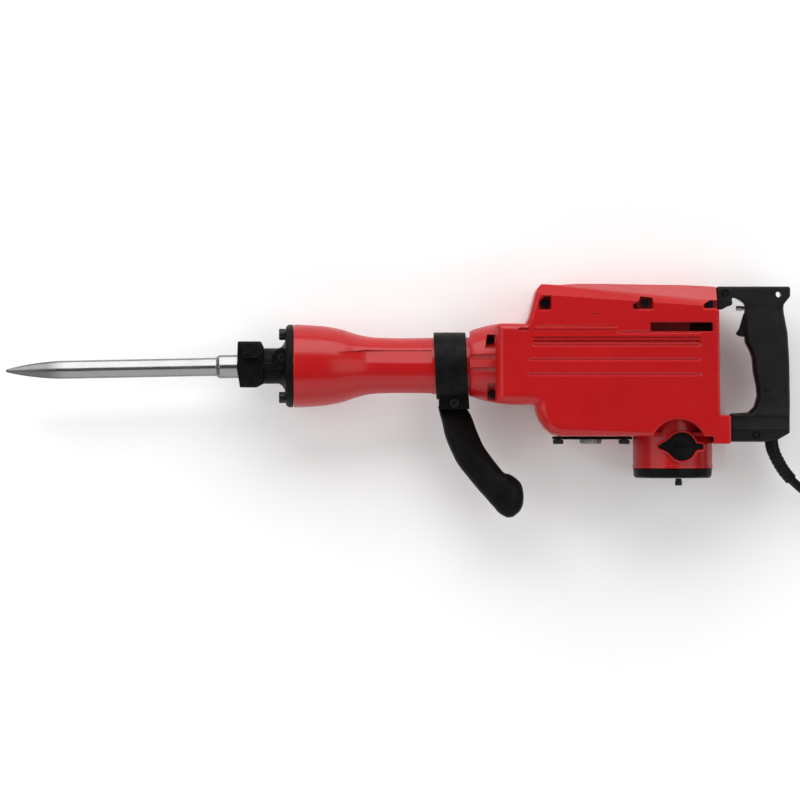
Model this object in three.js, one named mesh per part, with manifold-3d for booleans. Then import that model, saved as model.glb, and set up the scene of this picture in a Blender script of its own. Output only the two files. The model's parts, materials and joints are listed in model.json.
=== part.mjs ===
// Electric demolition hammer, lying on the flat of its far side cover. Millimetres, +Z up.
// Tool frame: X runs from the nose face (0) back to the rear handle, Y points to the top cover,
// Z points up from the barrel axis. The motor, the gears and the crank turn about axes along Y.
import * as THREE from 'three';
import Module from 'manifold-3d';
import { mergeVertices } from 'three/addons/utils/BufferGeometryUtils.js';

const wasm = await Module();
wasm.setup();

// ---- driving dimensions ----
const GAP = 0.3; // left between two pieces that touch
const HALF_WIDTH = 60; // barrel axis to the outer face of either side cover
const COVER_WALL = 4;
const TIP_X = -250.4; // chisel tip
const BACK_X = 594.5; // back of the rear handle
const TOP_Y = 88.2; // top of the covers
const LOW_Y = -163.5; // lower end of the side grip's knob
const BIT = { flats: 19.6, shankFlats: 25, shankStart: -19.8, end: 58, droop: 1.1, pivotX: 25 };
const LEVER = { x: 18.8, y: 17, r: 6.6, flat: 4.2 }; // cross shaft of the bit stop lever
const FLANGE = { r: 44.8, front: 51.4, back: 59.7, boltY: 34, boltZ: 17 };
const BARREL = { neckR: 30.2, end: 275, bore: 25.8 };
const STROKE = 24;
const CRANK_R = STROKE / 2;
const ROD_LENGTH = 85;
const CRANK_PIN_R = 8;
const WRIST_R = 4;
const MOTOR = { x: 468.4, r: 42.8, bore: 38.2, top: -2, bottom: -110 };
const FIRST = { module: 1.5, pinion: 10, gear: 36, y: 50, width: 8 };
const SECOND = { module: 2.5, pinion: 12, gear: 35, y: 62, width: 12 };
const IDLER_X = MOTOR.x - (FIRST.module * (FIRST.pinion + FIRST.gear)) / 2;
const CRANK_X = IDLER_X - (SECOND.module * (SECOND.pinion + SECOND.gear)) / 2;
const BRUSH_Y = -85.8; // axis of the two brushes
const CAP = { x: MOTOR.x + 8.6, y: -86.6, cutX: MOTOR.x + 5, cutR: 27 }; // brush caps, a little behind the axis
const HANDLE_HALF = 20; // half thickness of the rear handle
const TRIGGER_HALF = 8;
const LOCK_PIN = { y: 62.2, r: 2.5, front: 536.7, back: 556 };
const CORD_D = 9.5;
const FLOOR = -HALF_WIDTH;
const COIL = { x: 716, y: -118, inner: 43, outer: 62.5, height: 38 };
const FINE = 28; // segments round a large turned piece
const COARSE = 16; // segments round a small one
const BOLT = 10; // segments round a bolt or its hole

// ---- materials ----
const paint = (color, roughness, metalness) => ({ color, roughness, metalness });
const RED = paint(0xb5202a, 0.38, 0.15);
const BLACK_CAST = paint(0x1c1c1e, 0.55, 0.5);
const BLACK_PLASTIC = paint(0x161617, 0.6, 0.0);
const RUBBER = paint(0x121212, 0.8, 0.0);
const CHROME = paint(0xc9cbce, 0.22, 1.0);
const STEEL = paint(0x8d9094, 0.35, 1.0);
const ALLOY = paint(0xa9abad, 0.5, 0.9);
const BRASS = paint(0xb08d3c, 0.35, 1.0);
const COPPER = paint(0xa5572c, 0.4, 1.0);
const CARBON = paint(0x2a2a2c, 0.9, 0.1);

// ---- helpers: closed geometry, booleans and placing ----
const AXES = {
  x: new THREE.Matrix4().makeBasis(
    new THREE.Vector3(0, 1, 0), new THREE.Vector3(0, 0, 1), new THREE.Vector3(1, 0, 0)),
  y: new THREE.Matrix4().makeRotationX(-Math.PI / 2),
  z: new THREE.Matrix4(),
};

// An outline pushed along an axis. Along x the outline is (Y, Z), along y it is (X, -Z), along z it is (X, Y).
function prism(outline, axis, from, to, curveSegments = 6) {
  const shape = outline instanceof THREE.Shape ? outline : polygon(outline);
  const settings = { depth: to - from, bevelEnabled: false, curveSegments };
  const geometry = new THREE.ExtrudeGeometry(shape, settings).translate(0, 0, from);
  return geometry.applyMatrix4(AXES[axis]);
}

function polygon(points) {
  return new THREE.Shape(points.map(([x, y]) => new THREE.Vector2(x, y)));
}

// A closed profile of [distance along the axis, radius] turned about an axis through [a, b] across it.
function turned(profile, axis, [a, b] = [0, 0], segments = COARSE) {
  const points = profile.map(([along, radius]) => new THREE.Vector2(radius, along));
  if (THREE.ShapeUtils.area(points) < 0) points.reverse();
  const geometry = new THREE.LatheGeometry([...points, points[0]], segments);
  if (axis === 'x') geometry.rotateZ(-Math.PI / 2).translate(0, a, b);
  else if (axis === 'z') geometry.rotateX(Math.PI / 2).translate(a, b, 0);
  else geometry.translate(a, 0, b);
  return geometry;
}

const rod = (axis, from, to, radius, centre, segments) =>
  turned([[from, 0], [to, 0], [to, radius], [from, radius]], axis, centre, segments);

const ring = (axis, from, to, inner, outer, centre, segments) =>
  turned([[from, inner], [to, inner], [to, outer], [from, outer]], axis, centre, segments);

function box(x0, x1, y0, y1, z0, z1) {
  const geometry = new THREE.BoxGeometry(x1 - x0, y1 - y0, z1 - z0);
  return geometry.translate((x0 + x1) / 2, (y0 + y1) / 2, (z0 + z1) / 2);
}

// A skin through equal rings of points, closed by a flat fan at each end.
function loft(rings) {
  const count = rings[0].length;
  const centres = [rings[0], rings.at(-1)].map((points) =>
    points.reduce((sum, p) => sum.add(p), new THREE.Vector3()).divideScalar(count));
  const positions = [...rings.flat(), ...centres].flatMap((p) => p.toArray());
  const first = rings.length * count;
  const index = [];
  for (let i = 0; i < count; i++) {
    const j = (i + 1) % count;
    for (let k = 0; k < rings.length - 1; k++) {
      const [a, b, c, d] = [k * count + i, k * count + j, (k + 1) * count + j, (k + 1) * count + i];
      index.push(a, b, c, a, c, d);
    }
    const last = (rings.length - 1) * count;
    index.push(first, j, i, first + 1, last + i, last + j);
  }
  const geometry = new THREE.BufferGeometry();
  geometry.setAttribute('position', new THREE.Float32BufferAttribute(positions, 3));
  geometry.setIndex(facesOut(positions, index) ? index : index.toReversed());
  return geometry;
}

// True if the faces turn outwards, which makes the signed volume positive.
function facesOut(positions, index) {
  const corner = (i) => new THREE.Vector3().fromArray(positions, 3 * index[i]);
  let volume = 0;
  for (let i = 0; i < index.length; i += 3) volume += corner(i).dot(corner(i + 1).cross(corner(i + 2)));
  return volume > 0;
}

// Rings for loft: a section function (t) => [[across, up], ...] carried along a curve in a level plane.
function swept(curve, steps, section) {
  const up = new THREE.Vector3(0, 0, 1);
  return loft(Array.from({ length: steps + 1 }, (_, k) => {
    const t = k / steps;
    const tangent = curve.getTangentAt(t);
    const side = new THREE.Vector3().crossVectors(up, tangent).normalize();
    const lift = new THREE.Vector3().crossVectors(tangent, side);
    const centre = curve.getPointAt(t);
    return section(t).map(([across, high]) =>
      centre.clone().addScaledVector(side, across).addScaledVector(lift, high));
  }));
}

function ellipse(halfAcross, halfUp, count) {
  return Array.from({ length: count }, (_, i) => {
    const angle = (2 * Math.PI * (i + 0.5)) / count;
    return [halfAcross * Math.cos(angle), halfUp * Math.sin(angle)];
  });
}

function solid(geometry) {
  const bare = geometry.clone();
  bare.deleteAttribute('normal');
  bare.deleteAttribute('uv');
  const merged = mergeVertices(bare, 1e-4);
  return new wasm.Manifold(new wasm.Mesh({
    numProp: 3,
    vertProperties: Float32Array.from(merged.attributes.position.array),
    triVerts: Uint32Array.from(merged.index.array),
  }));
}

function geometryOf(manifold) {
  const { vertProperties, triVerts, numProp } = manifold.getMesh();
  const positions = [];
  for (let i = 0; i < vertProperties.length; i += numProp) positions.push(...vertProperties.slice(i, i + 3));
  const geometry = new THREE.BufferGeometry();
  geometry.setAttribute('position', new THREE.Float32BufferAttribute(positions, 3));
  geometry.setIndex(Array.from(triVerts));
  return geometry;
}

// The joined geometries with the cut ones taken away.
function carve(joined, cuts = []) {
  let body = joined.map(solid).reduce((sum, next) => sum.add(next));
  for (const cutter of cuts) body = body.subtract(solid(cutter));
  return geometryOf(body);
}

const hammer = new THREE.Group();

function add(name, geometry, material, parent = hammer) {
  const mesh = new THREE.Mesh(geometry, new THREE.MeshStandardMaterial(material));
  mesh.name = name;
  parent.add(mesh);
  return mesh;
}

// ---- chisel and front end ----
function hexagon(flats) {
  const corner = flats / Math.sqrt(3);
  return Array.from({ length: 6 }, (_, i) => {
    const angle = (i * Math.PI) / 3;
    return [corner * Math.sin(angle), corner * Math.cos(angle)]; // a corner faces up, flats face +Y and -Y
  });
}

function chisel() {
  // [X, across flats] from the tip back to the striking end
  const stations = [
    [TIP_X, 1.2], [TIP_X + 4, 5], [TIP_X + 17, 10.5], [TIP_X + 34, 15.6], [TIP_X + 55, BIT.flats],
    [BIT.shankStart - 4, BIT.flats], [BIT.shankStart, BIT.shankFlats],
    [BIT.end - 2, BIT.shankFlats], [BIT.end, BIT.shankFlats - 4],
  ].map(([x, flats]) => hexagon(flats).map(([y, z]) => new THREE.Vector3(x, y, z)));
  const notch = box(10.4, 47.2, BIT.shankFlats / 2 - 3, 20, -20, 20);
  const bar = carve([loft(stations)], [notch]);
  const droop = THREE.MathUtils.degToRad(BIT.droop);
  return bar.translate(-BIT.pivotX, 0, 0).rotateZ(droop).translate(BIT.pivotX, 0, 0);
}

const boltSpots = [[1, 1], [1, -1], [-1, 1], [-1, -1]].map(([y, z]) => [y * FLANGE.boltY, z * FLANGE.boltZ]);

function frontCover() {
  const head = prism([
    [0, 26.5], [-0.8, -3.6], [2.5, -23.2], [19.7, -23.2], [28.8, -19], [28.8, 19.6], [24.7, 26.5],
  ], 'z', -24, 24);
  const body = turned([
    [24, 0], [24, 19.4], [44, 19.4], [48, 22], [FLANGE.front, 30], [FLANGE.front, 42.3],
    [54.2, FLANGE.r], [FLANGE.back, FLANGE.r], [FLANGE.back, 0],
  ], 'x', [0, 0], FINE);
  const boss = rod('z', 5, 26, 10.5, [47.5, 9]);
  const corner = (y, z) => box(-5, 30, -8, 8, -8, 8).rotateX(Math.PI / 4).translate(0, y, z);
  return carve([head, body, boss], [
    rod('x', -5, 27.3, 15.2, [0, 0]),
    rod('x', 27, 65, 16.5, [0, 0], FINE),
    rod('z', -40, 40, LEVER.r + GAP, [LEVER.x, LEVER.y]),
    corner(31, 27), corner(31, -27), corner(-27.5, 27), corner(-27.5, -27),
    ...boltSpots.map((spot) => rod('x', 40, 70, 4.2, spot, BOLT)),
  ]);
}

function stopLever() {
  const hub = 7.75;
  const knob = new THREE.Shape();
  knob.absarc(LEVER.x, LEVER.y, hub, -Math.PI / 2, Math.PI / 2);
  knob.lineTo(9, LEVER.y + hub);
  knob.absarc(9, LEVER.y + hub - 4, 4, Math.PI / 2, Math.PI);
  knob.lineTo(5, LEVER.y - hub + 2);
  knob.lineTo(7, LEVER.y - hub);
  const shaft = rod('z', -29, 26, LEVER.r, [LEVER.x, LEVER.y]);
  const washer = rod('z', -29, -24.4, 9, [LEVER.x, LEVER.y]);
  const flat = box(0, 40, LEVER.y + LEVER.flat, 40, -16, 16);
  return carve([prism(knob, 'z', 24.4, 33, 8), shaft, washer], [flat]);
}

const frontBolt = (spot) => turned([
  [44.4, 0], [44.4, 5.4], [45.2, 6], [51.1, 6], [51.1, 3.9], [78, 3.9], [79, 3], [79, 0],
], 'x', spot, BOLT);

add('chisel_bit', chisel(), CHROME);
add('front_cover', frontCover(), BLACK_CAST);
add('stop_lever', stopLever(), BLACK_CAST);
boltSpots.forEach((spot, i) => add(`front_cover_bolt_${i + 1}`, frontBolt(spot), BLACK_CAST));

// ---- barrel and what runs inside it ----
function cylinderCase() {
  const outside = [[60, 44.8], [76, 44.2], [97, 42.4], [113, 39], [126, 34.5], [138, 32], [150, 30.7],
    [169, BARREL.neckR], [210, 30.5], [248, 31.2], [BARREL.end, 31.2]];
  const inside = [[BARREL.end, BARREL.bore], [112.3, BARREL.bore], [112.3, 20.8], [66.3, 20.8],
    [66.3, 24.3], [60, 24.3]];
  const holes = boltSpots.map((spot) => rod('x', 55, 80, 4.2, spot, BOLT));
  return carve([turned([...outside, ...inside], 'x', [0, 0], FINE)], holes);
}

add('cylinder_case', cylinderCase(), RED);
add('hammer_holder', turned([[27.6, 15.1], [27.6, 16.2], [60.3, 16.2], [60.3, 24], [66, 24], [66, 20.5],
  [112, 20.5], [112, 17.3], [66, 17.3], [66, 15.1]], 'x', [0, 0], FINE), STEEL);
add('second_hammer', turned([[60, 0], [60, 10], [62, 12], [68, 12], [68, 17], [100, 17], [102, 11.3],
  [130, 11.3], [132, 9.5], [132, 0]], 'x'), STEEL);
add('damper_ring', ring('x', 112.6, 119.6, 12.2, 25.4), RUBBER);
add('cylinder_liner', ring('x', 120, 322, 22.8, 25.5, [0, 0], FINE), STEEL);
add('striker', turned([[146, 0], [146, 9.5], [148, 11], [153, 11], [155, 22.4], [166, 22.4], [166, 20.8],
  [170, 20.8], [170, 22.4], [192, 22.4], [192, 0]], 'x'), STEEL);

// At rest the crank pin points at the nose. The small end of the rod sits in the hollow piston.
const pinX = CRANK_X - CRANK_R;
const wristX = pinX - ROD_LENGTH;

function piston() {
  const cup = turned([[238, 0], [238, 22.4], [243, 22.4], [243, 20.9], [246, 20.9], [246, 22.4], [296, 22.4],
    [296, 19.6], [246.2, 19.6], [246.2, 0]], 'x', [0, 0], FINE);
  return carve([cup], [rod('y', -30, 30, WRIST_R + 0.5, [wristX, 0])]);
}

function connectingRod() {
  const bigEnd = ring('y', -8.5, 8.5, CRANK_PIN_R + GAP, 14, [pinX, 0]);
  const smallEnd = ring('y', -5.5, 5.5, WRIST_R + GAP, 6.2, [wristX, 0]);
  const beam = box(wristX + 5.4, pinX - 12, -5, 5, -5, 5);
  return carve([bigEnd, smallEnd, beam]);
}

function crankshaft() {
  const shaft = turned([[20, 0], [20, 14], [25.5, 14], [25.5, 10], [76, 10], [76, 0]], 'y', [CRANK_X, 0]);
  const web = new THREE.Shape();
  web.absarc(CRANK_X, 0, 24, -Math.PI / 2, Math.PI / 2);
  web.absarc(pinX, 0, 11.5, Math.PI / 2, 1.5 * Math.PI);
  const pin = rod('y', -10, 13, CRANK_PIN_R, [pinX, 0]);
  return carve([shaft, prism(web, 'y', 11, 22, 10), pin]);
}

add('piston', piston(), ALLOY);
add('wrist_pin', rod('y', -9.6, 9.6, WRIST_R, [wristX, 0]), STEEL);
add('connecting_rod', connectingRod(), STEEL);
add('crankshaft', crankshaft(), STEEL);
add('crank_bearing_lower', ring('y', 26, 36, 10.3, 21, [CRANK_X, 0]), CHROME);
add('crank_bearing_upper', ring('y', 46, 56, 10.3, 21, [CRANK_X, 0]), CHROME);

// ---- gear train ----
const PRESSURE = THREE.MathUtils.degToRad(20);
const involute = (angle) => Math.tan(angle) - angle;

// Stub involute teeth. The tooth numbered 0 is centred on the angle phase, seen along -Z of the outline.
function gearOutline(teeth, module, phase, backlash = 0.35) {
  const pitch = (teeth * module) / 2;
  const base = pitch * Math.cos(PRESSURE);
  const halfTooth = (radius) => {
    const angle = Math.acos(Math.min(1, base / Math.max(radius, base)));
    return Math.PI / (2 * teeth) - backlash / (2 * pitch) + involute(PRESSURE) - involute(angle);
  };
  const tip = pitch + 0.8 * module;
  const radii = [pitch - 1.15 * module, ...(teeth < 20 ? [pitch] : []), tip];
  const outline = [];
  for (let i = 0; i < teeth; i++) {
    const centre = phase + (2 * Math.PI * i) / teeth;
    const point = (radius, side) => {
      const angle = centre + side * halfTooth(radius);
      return [radius * Math.cos(angle), radius * Math.sin(angle)];
    };
    outline.push(...radii.map((radius) => point(radius, -1)));
    outline.push(...radii.toReversed().map((radius) => point(radius, 1)));
  }
  return outline;
}

const gear = (teeth, module, phase, x, y0, y1) =>
  prism(gearOutline(teeth, module, phase).map(([a, b]) => [a + x, b]), 'y', y0, y1);

const gapBehind = (teeth) => Math.PI + Math.PI / teeth; // a gap, not a tooth, faces the nose

// The final gear has four round holes between its hub and its rim.
function finalGear() {
  const holes = [1, 3, 5, 7].map((i) => {
    const angle = (i * Math.PI) / 4;
    return rod('y', 50, 90, 8, [CRANK_X + 26 * Math.cos(angle), 26 * Math.sin(angle)], 12);
  });
  const wheel = gear(SECOND.gear, SECOND.module, 0, CRANK_X, SECOND.y, SECOND.y + SECOND.width);
  return carve([wheel], [rod('y', 50, 90, 10.3, [CRANK_X, 0]), ...holes]);
}

function intermediateShaft() {
  const pinion = gear(SECOND.pinion, SECOND.module, gapBehind(SECOND.pinion), IDLER_X,
    SECOND.y - 1, SECOND.y + SECOND.width + 1);
  const profile = [[24, 0], [24, 6], [48.5, 6], [48.5, 7], [SECOND.y, 7], [SECOND.y, 0]];
  const shaft = turned(profile, 'y', [IDLER_X, 0]);
  return carve([pinion, shaft]);
}

add('final_gear', finalGear(), STEEL);
add('first_gear', carve([gear(FIRST.gear, FIRST.module, 0, IDLER_X, FIRST.y, FIRST.y + FIRST.width)],
  [rod('y', 40, 70, 7.3, [IDLER_X, 0])]), STEEL);
add('intermediate_shaft', intermediateShaft(), STEEL);
add('intermediate_bearing_lower', ring('y', 26, 35, 6.3, 13, [IDLER_X, 0]), CHROME);
add('intermediate_bearing_upper', ring('y', 38, 47, 6.3, 13, [IDLER_X, 0]), CHROME);

// ---- motor ----
const motorAt = [MOTOR.x, 0];
const coreTop = -16;
const coreBottom = -66;

function fieldWinding() {
  const above = ring('y', coreTop + GAP, coreTop + 10, 27, 36, motorAt);
  const below = ring('y', coreBottom - 10, coreBottom - GAP, 27, 36, motorAt);
  return carve([above, below, ...slotBars(0)]);
}

// Four bars of wire through the core's slots. A margin makes the slots that clear them.
function slotBars(margin) {
  return [0, 1, 2, 3].map((i) => {
    const angle = Math.PI / 4 + (i * Math.PI) / 2;
    const bar = box(28 - margin, 35 + margin, coreBottom - 5, coreTop + 5, -5 - margin, 5 + margin);
    return bar.rotateY(angle).translate(MOTOR.x, 0, 0);
  });
}

function armatureShaft() {
  const pinion = gear(FIRST.pinion, FIRST.module, gapBehind(FIRST.pinion), MOTOR.x,
    FIRST.y - 2, FIRST.y + FIRST.width + 2);
  const profile = [[-112, 0], [-112, 5.4], [-99, 5.4], [-99, 6], [FIRST.y, 6], [FIRST.y, 0]];
  const shaft = turned(profile, 'y', motorAt);
  return carve([pinion, shaft]);
}

function coolingFan() {
  const disc = ring('y', 8, 11, 6.3, 34, motorAt);
  const hub = ring('y', 8, 22, 6.3, 11, motorAt);
  const blades = Array.from({ length: 11 }, (_, i) =>
    box(10, 33, 10, 22, -1, 1).rotateY((2 * Math.PI * i) / 11).translate(MOTOR.x, 0, 0));
  return carve([disc, hub, ...blades]);
}

function motorHousing() {
  const shell = ring('y', MOTOR.bottom, MOTOR.top, MOTOR.bore, MOTOR.r, motorAt, FINE);
  return carve([shell], [rod('z', -60, 60, 7, [MOTOR.x, BRUSH_Y], 16)]);
}

function tailCover() {
  const lid = turned([[-120.6, 0], [-120.6, 39.5], [-118.5, 42], [-110.3, 42.4], [-110.3, 37], [-115, 37],
    [-115, 14.5], [-99.5, 14.5], [-99.5, 11.3], [-113, 11.3], [-113, 0]], 'y', motorAt, FINE);
  return carve([lid], [rod('y', -130, -111, 2.8, [MOTOR.x + 6.4 + 18, 0], 12)]);
}

add('motor_housing', motorHousing(), RED);
add('tail_cover', tailCover(), BLACK_PLASTIC);
add('tail_cover_screw', turned([[-128.8, 0], [-128.8, 3.2], [-128, 3.8], [-121, 3.8], [-121, 0]], 'y',
  [MOTOR.x + 6.4, 0]), BLACK_CAST);
add('stator_core', carve([ring('y', coreBottom, coreTop, 24, 37.8, motorAt, FINE)], slotBars(GAP)), STEEL);
add('field_winding', fieldWinding(), COPPER);
add('armature_shaft', armatureShaft(), STEEL);
add('armature_core', ring('y', coreBottom, coreTop, 6.3, 23.2, motorAt), STEEL);
add('commutator', ring('y', -96, -78, 6.3, 14, motorAt), COPPER);
add('cooling_fan', coolingFan(), BLACK_PLASTIC);
add('armature_bearing_upper', ring('y', 38, 46, 6.3, 13, motorAt), CHROME);
add('armature_bearing_lower', ring('y', -110.5, -101, 5.7, 11, motorAt), CHROME);

function brushCap() {
  // a round cap with a pointed ear on each side
  const cap = new THREE.Shape();
  const reach = Math.PI / 5;
  cap.absarc(0, 0, 14.3, reach, Math.PI - reach);
  cap.lineTo(-25.5, 0);
  cap.absarc(0, 0, 14.3, Math.PI + reach, 2 * Math.PI - reach);
  cap.lineTo(22.5, -3);
  cap.lineTo(22.5, 3);
  return cap;
}

for (const [side, name] of [[1, 'near'], [-1, 'far']]) {
  const along = (from, to) => (side > 0 ? [from, to] : [-to, -from]);
  const place = (geometry) => geometry.translate(MOTOR.x, BRUSH_Y, 0);
  const cap = prism(brushCap(), 'z', ...along(MOTOR.r + GAP, MOTOR.r + 6 + GAP)).translate(CAP.x, CAP.y, 0);
  const sleeve = place(box(-6.5, 6.5, -4.5, 4.5, ...along(20, 37)));
  const channel = place(box(-4.8, 4.8, -3.3, 3.3, ...along(10, 50)));
  add(`brush_cap_${name}`, carve([cap]), BLACK_PLASTIC);
  add(`brush_holder_${name}`, carve([sleeve], [channel]), BRASS);
  add(`carbon_brush_${name}`, place(box(-4.5, 4.5, -3, 3, ...along(14.4, 29))), CARBON);
}

// ---- gear case and covers ----
function crankCase() {
  const neck = turned([[250.6, 0], [250.6, 36], [262, 38.5], [276.7, 42.4], [276.7, 0]], 'x', [1.5, 0], FINE);
  const sleeve = rod('x', 276, 330, 33, [0, 0], FINE);
  const chamber = prism([
    [327, 58], [327, -50], [329.5, -58], [334, -64], [342.5, -71.3], [405, -71.3], [405, 58],
  ], 'z', -42, 42);
  const room = prism([
    [331.5, 24.5], [331.5, -48], [334, -56], [338.5, -62], [344, -66], [344, -80], [402.2, -80], [402.2, 24.5],
  ], 'z', -38, 38);
  const bridge = box(402, 486, 36.8, 47.6, -30, 30);
  const idlerBlock = box(402, 452, 24.6, 47.6, -17, 17);
  return carve([neck, sleeve, chamber, bridge, idlerBlock], [
    room,
    rod('x', 240, BARREL.end + GAP, 31.5, [0, 0], FINE),
    rod('x', 270, 335, BARREL.bore, [0, 0], FINE),
    rod('y', 20, 70, 21.3, [CRANK_X, 0]),
    rod('y', 20, 70, 13.3, [IDLER_X, 0]),
    rod('y', 20, 70, 13.3, motorAt),
  ]);
}

const PLUG = { x: 380, r: 12, neckR: 9 }; // grease plug under the crank, through the base plate

// Side view of the covers, anticlockwise from the front of the neck.
const coverOutline = [
  [277, -40], [294, -42], [319.5, -42], [321, -51], [324, -59], [330, -67.5], [338.5, -74], [341, -75.6],
  [510.8, -75.6], [510.8, -83.6], [529.3, -83.6], [529.3, -52.9], [518, -52.9], [516.6, 60.2], [514.5, 60.2],
  [514.5, 85.2], [480, 87], [444, 87.4], [390, TOP_Y], [365, TOP_Y], [344, 86.8], [325.8, 87.7], [320, 80],
  [316, 65], [312.8, 52], [309, 45.3], [282, 45.6], [277, 44.8],
];
const cavityOutline = [
  [270, -36], [324, -38], [325.5, -50], [328, -57.5], [333, -64.5], [341, -71.6], [506, -71.6], [506, -79.6],
  [514, -79.6], [514, 50], [510.5, 56], [510.5, 81.3], [480, 83], [390, 84.2], [345, 82.8], [327.6, 83.4],
  [324, 79], [320, 64], [316.5, 51], [311.5, 41.3], [270, 41.3],
];

const TOP_BEVEL = 72; // Y where the bevel along the top leaves the side face
const BOTTOM_BEVEL = -66;

// A block behind the 45 degree plane that leaves the side face at y. Inset moves the plane into the cover.
function bevel(side, y, inset) {
  const half = 30;
  const reach = half * Math.SQRT2 - inset;
  return box(200, 600, -half, half, -half, half).rotateX(Math.PI / 4)
    .translate(0, y + Math.sign(y) * reach / 2, side * (HALF_WIDTH + reach / 2));
}

function sideCover(side) {
  const z = (from, to) => (side > 0 ? [from, to] : [-to, -from]);
  const middle = GAP / 2;
  const outer = prism(coverOutline, 'z', ...z(middle, HALF_WIDTH));
  const bevels = (inset) => [bevel(side, TOP_BEVEL, inset), bevel(side, BOTTOM_BEVEL, inset)];
  const inside = prism(cavityOutline, 'z', ...z(-1, HALF_WIDTH - COVER_WALL));
  const room = carve([inside], bevels(COVER_WALL * Math.SQRT2));
  const pocket = (x0, x1, y0, y1) => box(x0, x1, y0, y1, ...z(HALF_WIDTH - 3, HALF_WIDTH + 5));
  return carve([outer], [
    room,
    ...bevels(0),
    rod('x', 260, 282, 33.4, [0, 0], FINE),
    rod('y', -100, -50, MOTOR.r + GAP, motorAt, FINE),
    rod('z', ...z(MOTOR.r, 70), CAP.cutR, [CAP.cutX, BRUSH_Y], FINE),
    rod('y', -80, -65, PLUG.neckR + GAP, [PLUG.x, 0]),
    pocket(323.7, 336.3, 60, 75),
    pocket(424.6, 445.7, 60.6, 72),
    pocket(500, 520, 61.5, 70.5),
    box(443, 509, 37, 46.5, ...z(40, 70)),
  ]);
}

function basePlate() {
  return carve([box(334, 424, -79.4, -75.9, -34, 34)], [rod('y', -90, -70, PLUG.r + 0.5, [PLUG.x, 0])]);
}

add('crank_case', crankCase(), RED);
add('near_cover', sideCover(1), RED);
add('far_cover', sideCover(-1), RED);
add('base_plate', basePlate(), BLACK_CAST);
add('grease_plug', turned([[-84, 0], [-84, 10.5], [-83, PLUG.r], [-75.9, PLUG.r], [-75.9, PLUG.neckR],
  [-72, PLUG.neckR], [-72, 0]], 'y', [PLUG.x, 0]), BLACK_CAST);

// ---- rear handle, switch and trigger ----
const handleOutline = [
  [514.8, 60.8], [521.4, 60.8], [526, 63.5], [531, 65], [532.5, 67.6], [531.3, 72.5], [534.3, 73.7],
  [539, 71.7], [545, 67.6], [546.2, 65], [546.2, 25.4], [550.5, 18], [553.7, 8.6], [555.3, -7], [558.4, -23],
  [559.2, -32.6], [556, -43.6], [549.7, -49.9], [529.6, -51.3], [529.6, -81.7], [567, -81.7], [582, -79],
  [594, -72], [594.4, -38], [593.6, 8.6], [591.8, 35.6], [587.4, 59], [587.4, 66], [BACK_X, 75],
  [BACK_X, 85.5], [514.8, 85.5],
].toReversed();

function handleShell(side) {
  const z = (from, to) => (side > 0 ? [from, to] : [-to, -from]);
  const room = [[563, -76], [588, -68], [588, 8], [583, 60], [566, 60], [559, 26], [563, -20]];
  const backEdge = box(-6, 6, -90, 90, -6, 6).rotateY(Math.PI / 4)
    .translate(BACK_X + 2, 0, side * (HANDLE_HALF + 1.5));
  return carve([prism(handleOutline, 'z', ...z(GAP / 2, HANDLE_HALF))], [
    prism(room, 'z', ...z(-1, HANDLE_HALF - 4)),
    box(530, 568, 27.5, 60.4, ...z(-1, TRIGGER_HALF + 0.6)),
    rod('x', 530, 563, LOCK_PIN.r + GAP, [LOCK_PIN.y, 0], 12),
    rod('y', -95, -60, 7.7, [574.6, 0]),
    rod('z', -30, 30, 3.2, [582, 77], 12),
    backEdge,
  ]);
}

function trigger() {
  const outline = [[545.2, 57.4], [542.5, 47.8], [540.6, 41], [536.3, 34.2], [540, 32.1], [546, 31.2],
    [560, 33], [561, 57.4]].toReversed();
  return prism(outline, 'z', -TRIGGER_HALF, TRIGGER_HALF);
}

add('handle_shell_near', handleShell(1), BLACK_PLASTIC);
add('handle_shell_far', handleShell(-1), BLACK_PLASTIC);
add('trigger', trigger(), BLACK_PLASTIC);
add('lock_pin', rod('x', LOCK_PIN.front, LOCK_PIN.back, LOCK_PIN.r, [LOCK_PIN.y, 0], 12), STEEL);
add('switch_body', box(568.3, 582.5, 16, 56, -9, 9), BLACK_PLASTIC);

// ---- side handle ----
function handleBand() {
  const hoop = rod('x', 212.2, 246.7, 36.3, [0, 0], FINE);
  const ears = box(213, 247, -47, -20, -12, 12);
  const cuts = [rod('x', 200, 260, 31.6, [0, 0], FINE), box(200, 260, -60, -30, -1.2, 1.2),
    rod('z', -20, 20, 4.3, [231.4, -40.2])];
  const band = carve([hoop, ears], cuts);
  // the band leans: its lower side sits a little further back
  return band.applyMatrix4(new THREE.Matrix4().makeShear(0, 0, -0.045, 0, 0, 0));
}

// down the middle of the grip: x, y, half width, half height, heading in degrees
const GRIP_LINE = [
  [233.4, -47.3, 16.2, 12.6, -90], [234.6, -52, 16.2, 13.8, -80], [236.8, -57, 16.1, 14.3, -76],
  [240.4, -71, 16, 14.5, -70], [246, -85, 15.8, 14.5, -64], [251.8, -96.5, 15.4, 14.5, -58],
  [262.4, -110.9, 14.9, 14.5, -52], [272, -122.4, 14.9, 14.5, -51.5], [279.5, -127.6, 17, 14.8, -51.5],
  [284.4, -131.6, 18.1, 15, -51.5], [289.4, -136.8, 18.5, 15, -51.5], [294, -145.3, 16.8, 14.4, -51.5],
  [296.3, -150.2, 14.6, 13.2, -51.5], [298.2, -155, 11.2, 11, -51.5], [300, -159.9, 4.5, 5, -51.5],
];

function sideGrip() {
  return loft(GRIP_LINE.map(([x, y, halfAcross, halfUp, heading]) => {
    const angle = THREE.MathUtils.degToRad(heading);
    const side = new THREE.Vector3(-Math.sin(angle), Math.cos(angle), 0);
    return ellipse(halfAcross, halfUp, 12).map(([across, high]) =>
      new THREE.Vector3(x, y, high).addScaledVector(side, across));
  }));
}

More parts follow.
